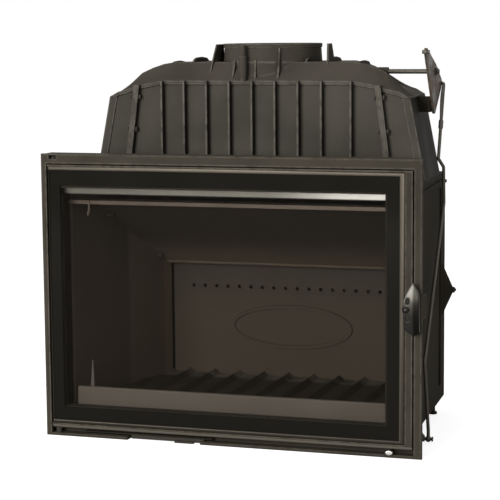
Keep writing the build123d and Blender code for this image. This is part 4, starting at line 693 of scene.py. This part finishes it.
# The rod's hook is bent from doubled wire: a second leg runs down beside the first to the sleeve, clear
# of the lever's face.
rod_leg = [(0.3610, 0.3675, 0.7230), (0.3604, 0.3560, 0.7100), (0.3604, 0.3455, 0.6920),
           (0.3606, 0.3415, 0.6680), (0.3608, 0.3406, 0.6462)]
leg_radius = 0.0026
leg_smooth = math.radians(50)
pick()
bpy.ops.curve.primitive_nurbs_path_add(location=(0, 0, 0))
leg = bpy.context.active_object
leg.name = "rod_leg"
spline = leg.data.splines[0]
for point, spot in zip(spline.points, rod_leg):
    point.co = (*spot, 1)
spline.order_u = 3
spline.use_endpoint_u = True
leg.data.bevel_depth = leg_radius
leg.data.bevel_resolution = 3
leg.data.use_fill_caps = True
bpy.ops.object.convert(target="MESH")
bpy.ops.object.shade_smooth_by_angle(angle=leg_smooth)
leg.data.materials.append(rod_steel)
place_piece(leg, "rod", "linkage_steel")

# ---- door rope and glass tape ----
# Graphited glass-fibre rope of three strands, pressed into the groove behind the door's edge, and a flat
# woven tape that beds the glass.
seal_grey = (0.085, 0.080, 0.072)
seal_dark = (0.030, 0.028, 0.025)
seal_shine, seal_rough, seal_dull = 0.2, 0.8, 0.15
fibre_noise, fibre_span = (900, 2), (0.35, 0.65)
fibre_relief, fibre_depth = 0.6, 0.0002
sheen_noise, sheen_span, sheen_share, sheen_tone = (30, 3), (0.5, 0.8), 0.4, 1.5
strand_count = 3
strand_sides = 8
strand_radius = 0.0018
strand_reach = 0.0017
strand_steps = 10
strand_join = 0.0002
rope_pitch = 0.018
rope_corner = 0.012
rope_in = 0.0038
corner_in, corner_out = 0.45, 1.5
tape_width = 0.010
tape_pitch = 0.0022
tape_arris = 0.0004


def seal_finish(name, base, dark):
    """Twisted fibre: fine strands of two tones and a dull graphite sheen."""
    material, place = new_finish(name, Specular_IOR_Level=seal_shine)
    fibre = place.noise(*fibre_noise)
    sheen = place.noise(*sheen_noise)
    tone = fibre.rise(*fibre_span).paint(dark, base)
    tone = (sheen.rise(*sheen_span) * sheen_share).paint(tone, shaded(base, sheen_tone))
    lay(material, Base_Color=tone, Normal=fibre.relief(fibre_relief, fibre_depth),
        Roughness=seal_rough + sheen * seal_dull)
    return material


seal_fibre = seal_finish("seal_fibre", seal_grey, seal_dark)
rope_low, rope_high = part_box("door_rope_seal")
rope_y = (rope_low.y + rope_high.y) / 2
left, right = rope_low.x + rope_in, rope_high.x - rope_in
bottom, top = rope_low.z + rope_in, rope_high.z - rope_in
corners = [Vector((x, rope_y, z)) for x, z in ((left, bottom), (right, bottom), (right, top), (left, top))]
pick()
bpy.ops.curve.primitive_bezier_circle_add(location=(0, 0, 0))
rope_way = bpy.context.active_object
rope_way.name = "tool_way"
spline = rope_way.data.splines[0]
spline.bezier_points.add(len(corners))
for number, corner in enumerate(corners):
    for step, toward in enumerate((corners[number - 1], corners[(number + 1) % len(corners)])):
        point = spline.bezier_points[number * 2 + step]
        lead = (toward - corner).normalized() * rope_corner
        point.co = corner + lead
        point.handle_left_type = point.handle_right_type = "FREE"
        inward = corner + lead * corner_in
        outward = corner + lead * corner_out
        point.handle_left, point.handle_right = (inward, outward) if step else (outward, inward)
spline.use_cyclic_u = True
rope_way.data.resolution_u = 8
strands = []
for number in range(strand_count):
    angle = math.radians(360 / strand_count * number)
    pick()
    bpy.ops.mesh.primitive_circle_add(
        vertices=strand_sides, radius=strand_radius, rotation=(0, math.radians(90), 0),
        location=(0, strand_reach * math.cos(angle), strand_reach * math.sin(angle)))
    strand = bpy.context.active_object
    bpy.ops.object.transform_apply(location=True, rotation=True, scale=True)
    twist = strand.modifiers.new("twist", "SCREW")
    twist.axis = "X"
    twist.screw_offset = rope_pitch
    twist.steps = twist.render_steps = strand_steps
    twist.use_merge_vertices = False
    run = strand.modifiers.new("run", "ARRAY")
    run.fit_type = "FIT_CURVE"
    run.curve = rope_way
    run.use_relative_offset = False
    run.use_constant_offset = True
    run.constant_offset_displace = (rope_pitch, 0, 0)
    run.use_merge_vertices = True
    run.merge_threshold = strand_join
    bend = strand.modifiers.new("bend", "CURVE")
    bend.object = rope_way
    bend.deform_axis = "POS_X"
    for name in ("twist", "run", "bend"):
        bpy.ops.object.modifier_apply(modifier=name)
    strands.append(strand)
rope = weld(strands, "door_rope")
bpy.data.objects.remove(rope_way)
bpy.ops.object.mode_set(mode="EDIT")
bpy.ops.mesh.select_all(action="SELECT")
bpy.ops.mesh.normals_make_consistent(inside=False)
bpy.ops.object.mode_set(mode="OBJECT")
bpy.ops.object.shade_smooth()
rope.data.materials.append(seal_fibre)
place_piece(rope, "door", "seal_fibre", "door_rope_seal")

tape_low, tape_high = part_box("glass_gasket")
tapes = []
for across, along in ((axis_x, axis_z), (axis_z, axis_x)):
    for far_side in (False, True):
        low = Vector(tape_low)
        high = Vector(tape_high)
        if far_side:
            low[across] = tape_high[across] - tape_width
        else:
            high[across] = tape_low[across] + tape_width
        if along == axis_z:
            low[along] += tape_width
            high[along] -= tape_width
        length = high[along] - low[along]
        count = round(length / tape_pitch)
        rib = Vector(high)
        rib[along] = low[along] + length / count
        tape = new_box("tape", low, rib)
        soften(tape, tape_arris, 2)
        run = tape.modifiers.new("run", "ARRAY")
        run.count = count
        run.use_relative_offset = False
        run.use_constant_offset = True
        step = Vector((0, 0, 0))
        step[along] = length / count
        run.constant_offset_displace = step
        bpy.ops.object.modifier_apply(modifier="run")
        tapes.append(tape)
tape = weld(tapes, "glass_tape")
tape.data.materials.append(seal_fibre)
place_piece(tape, "door", "seal_fibre", "glass_gasket")
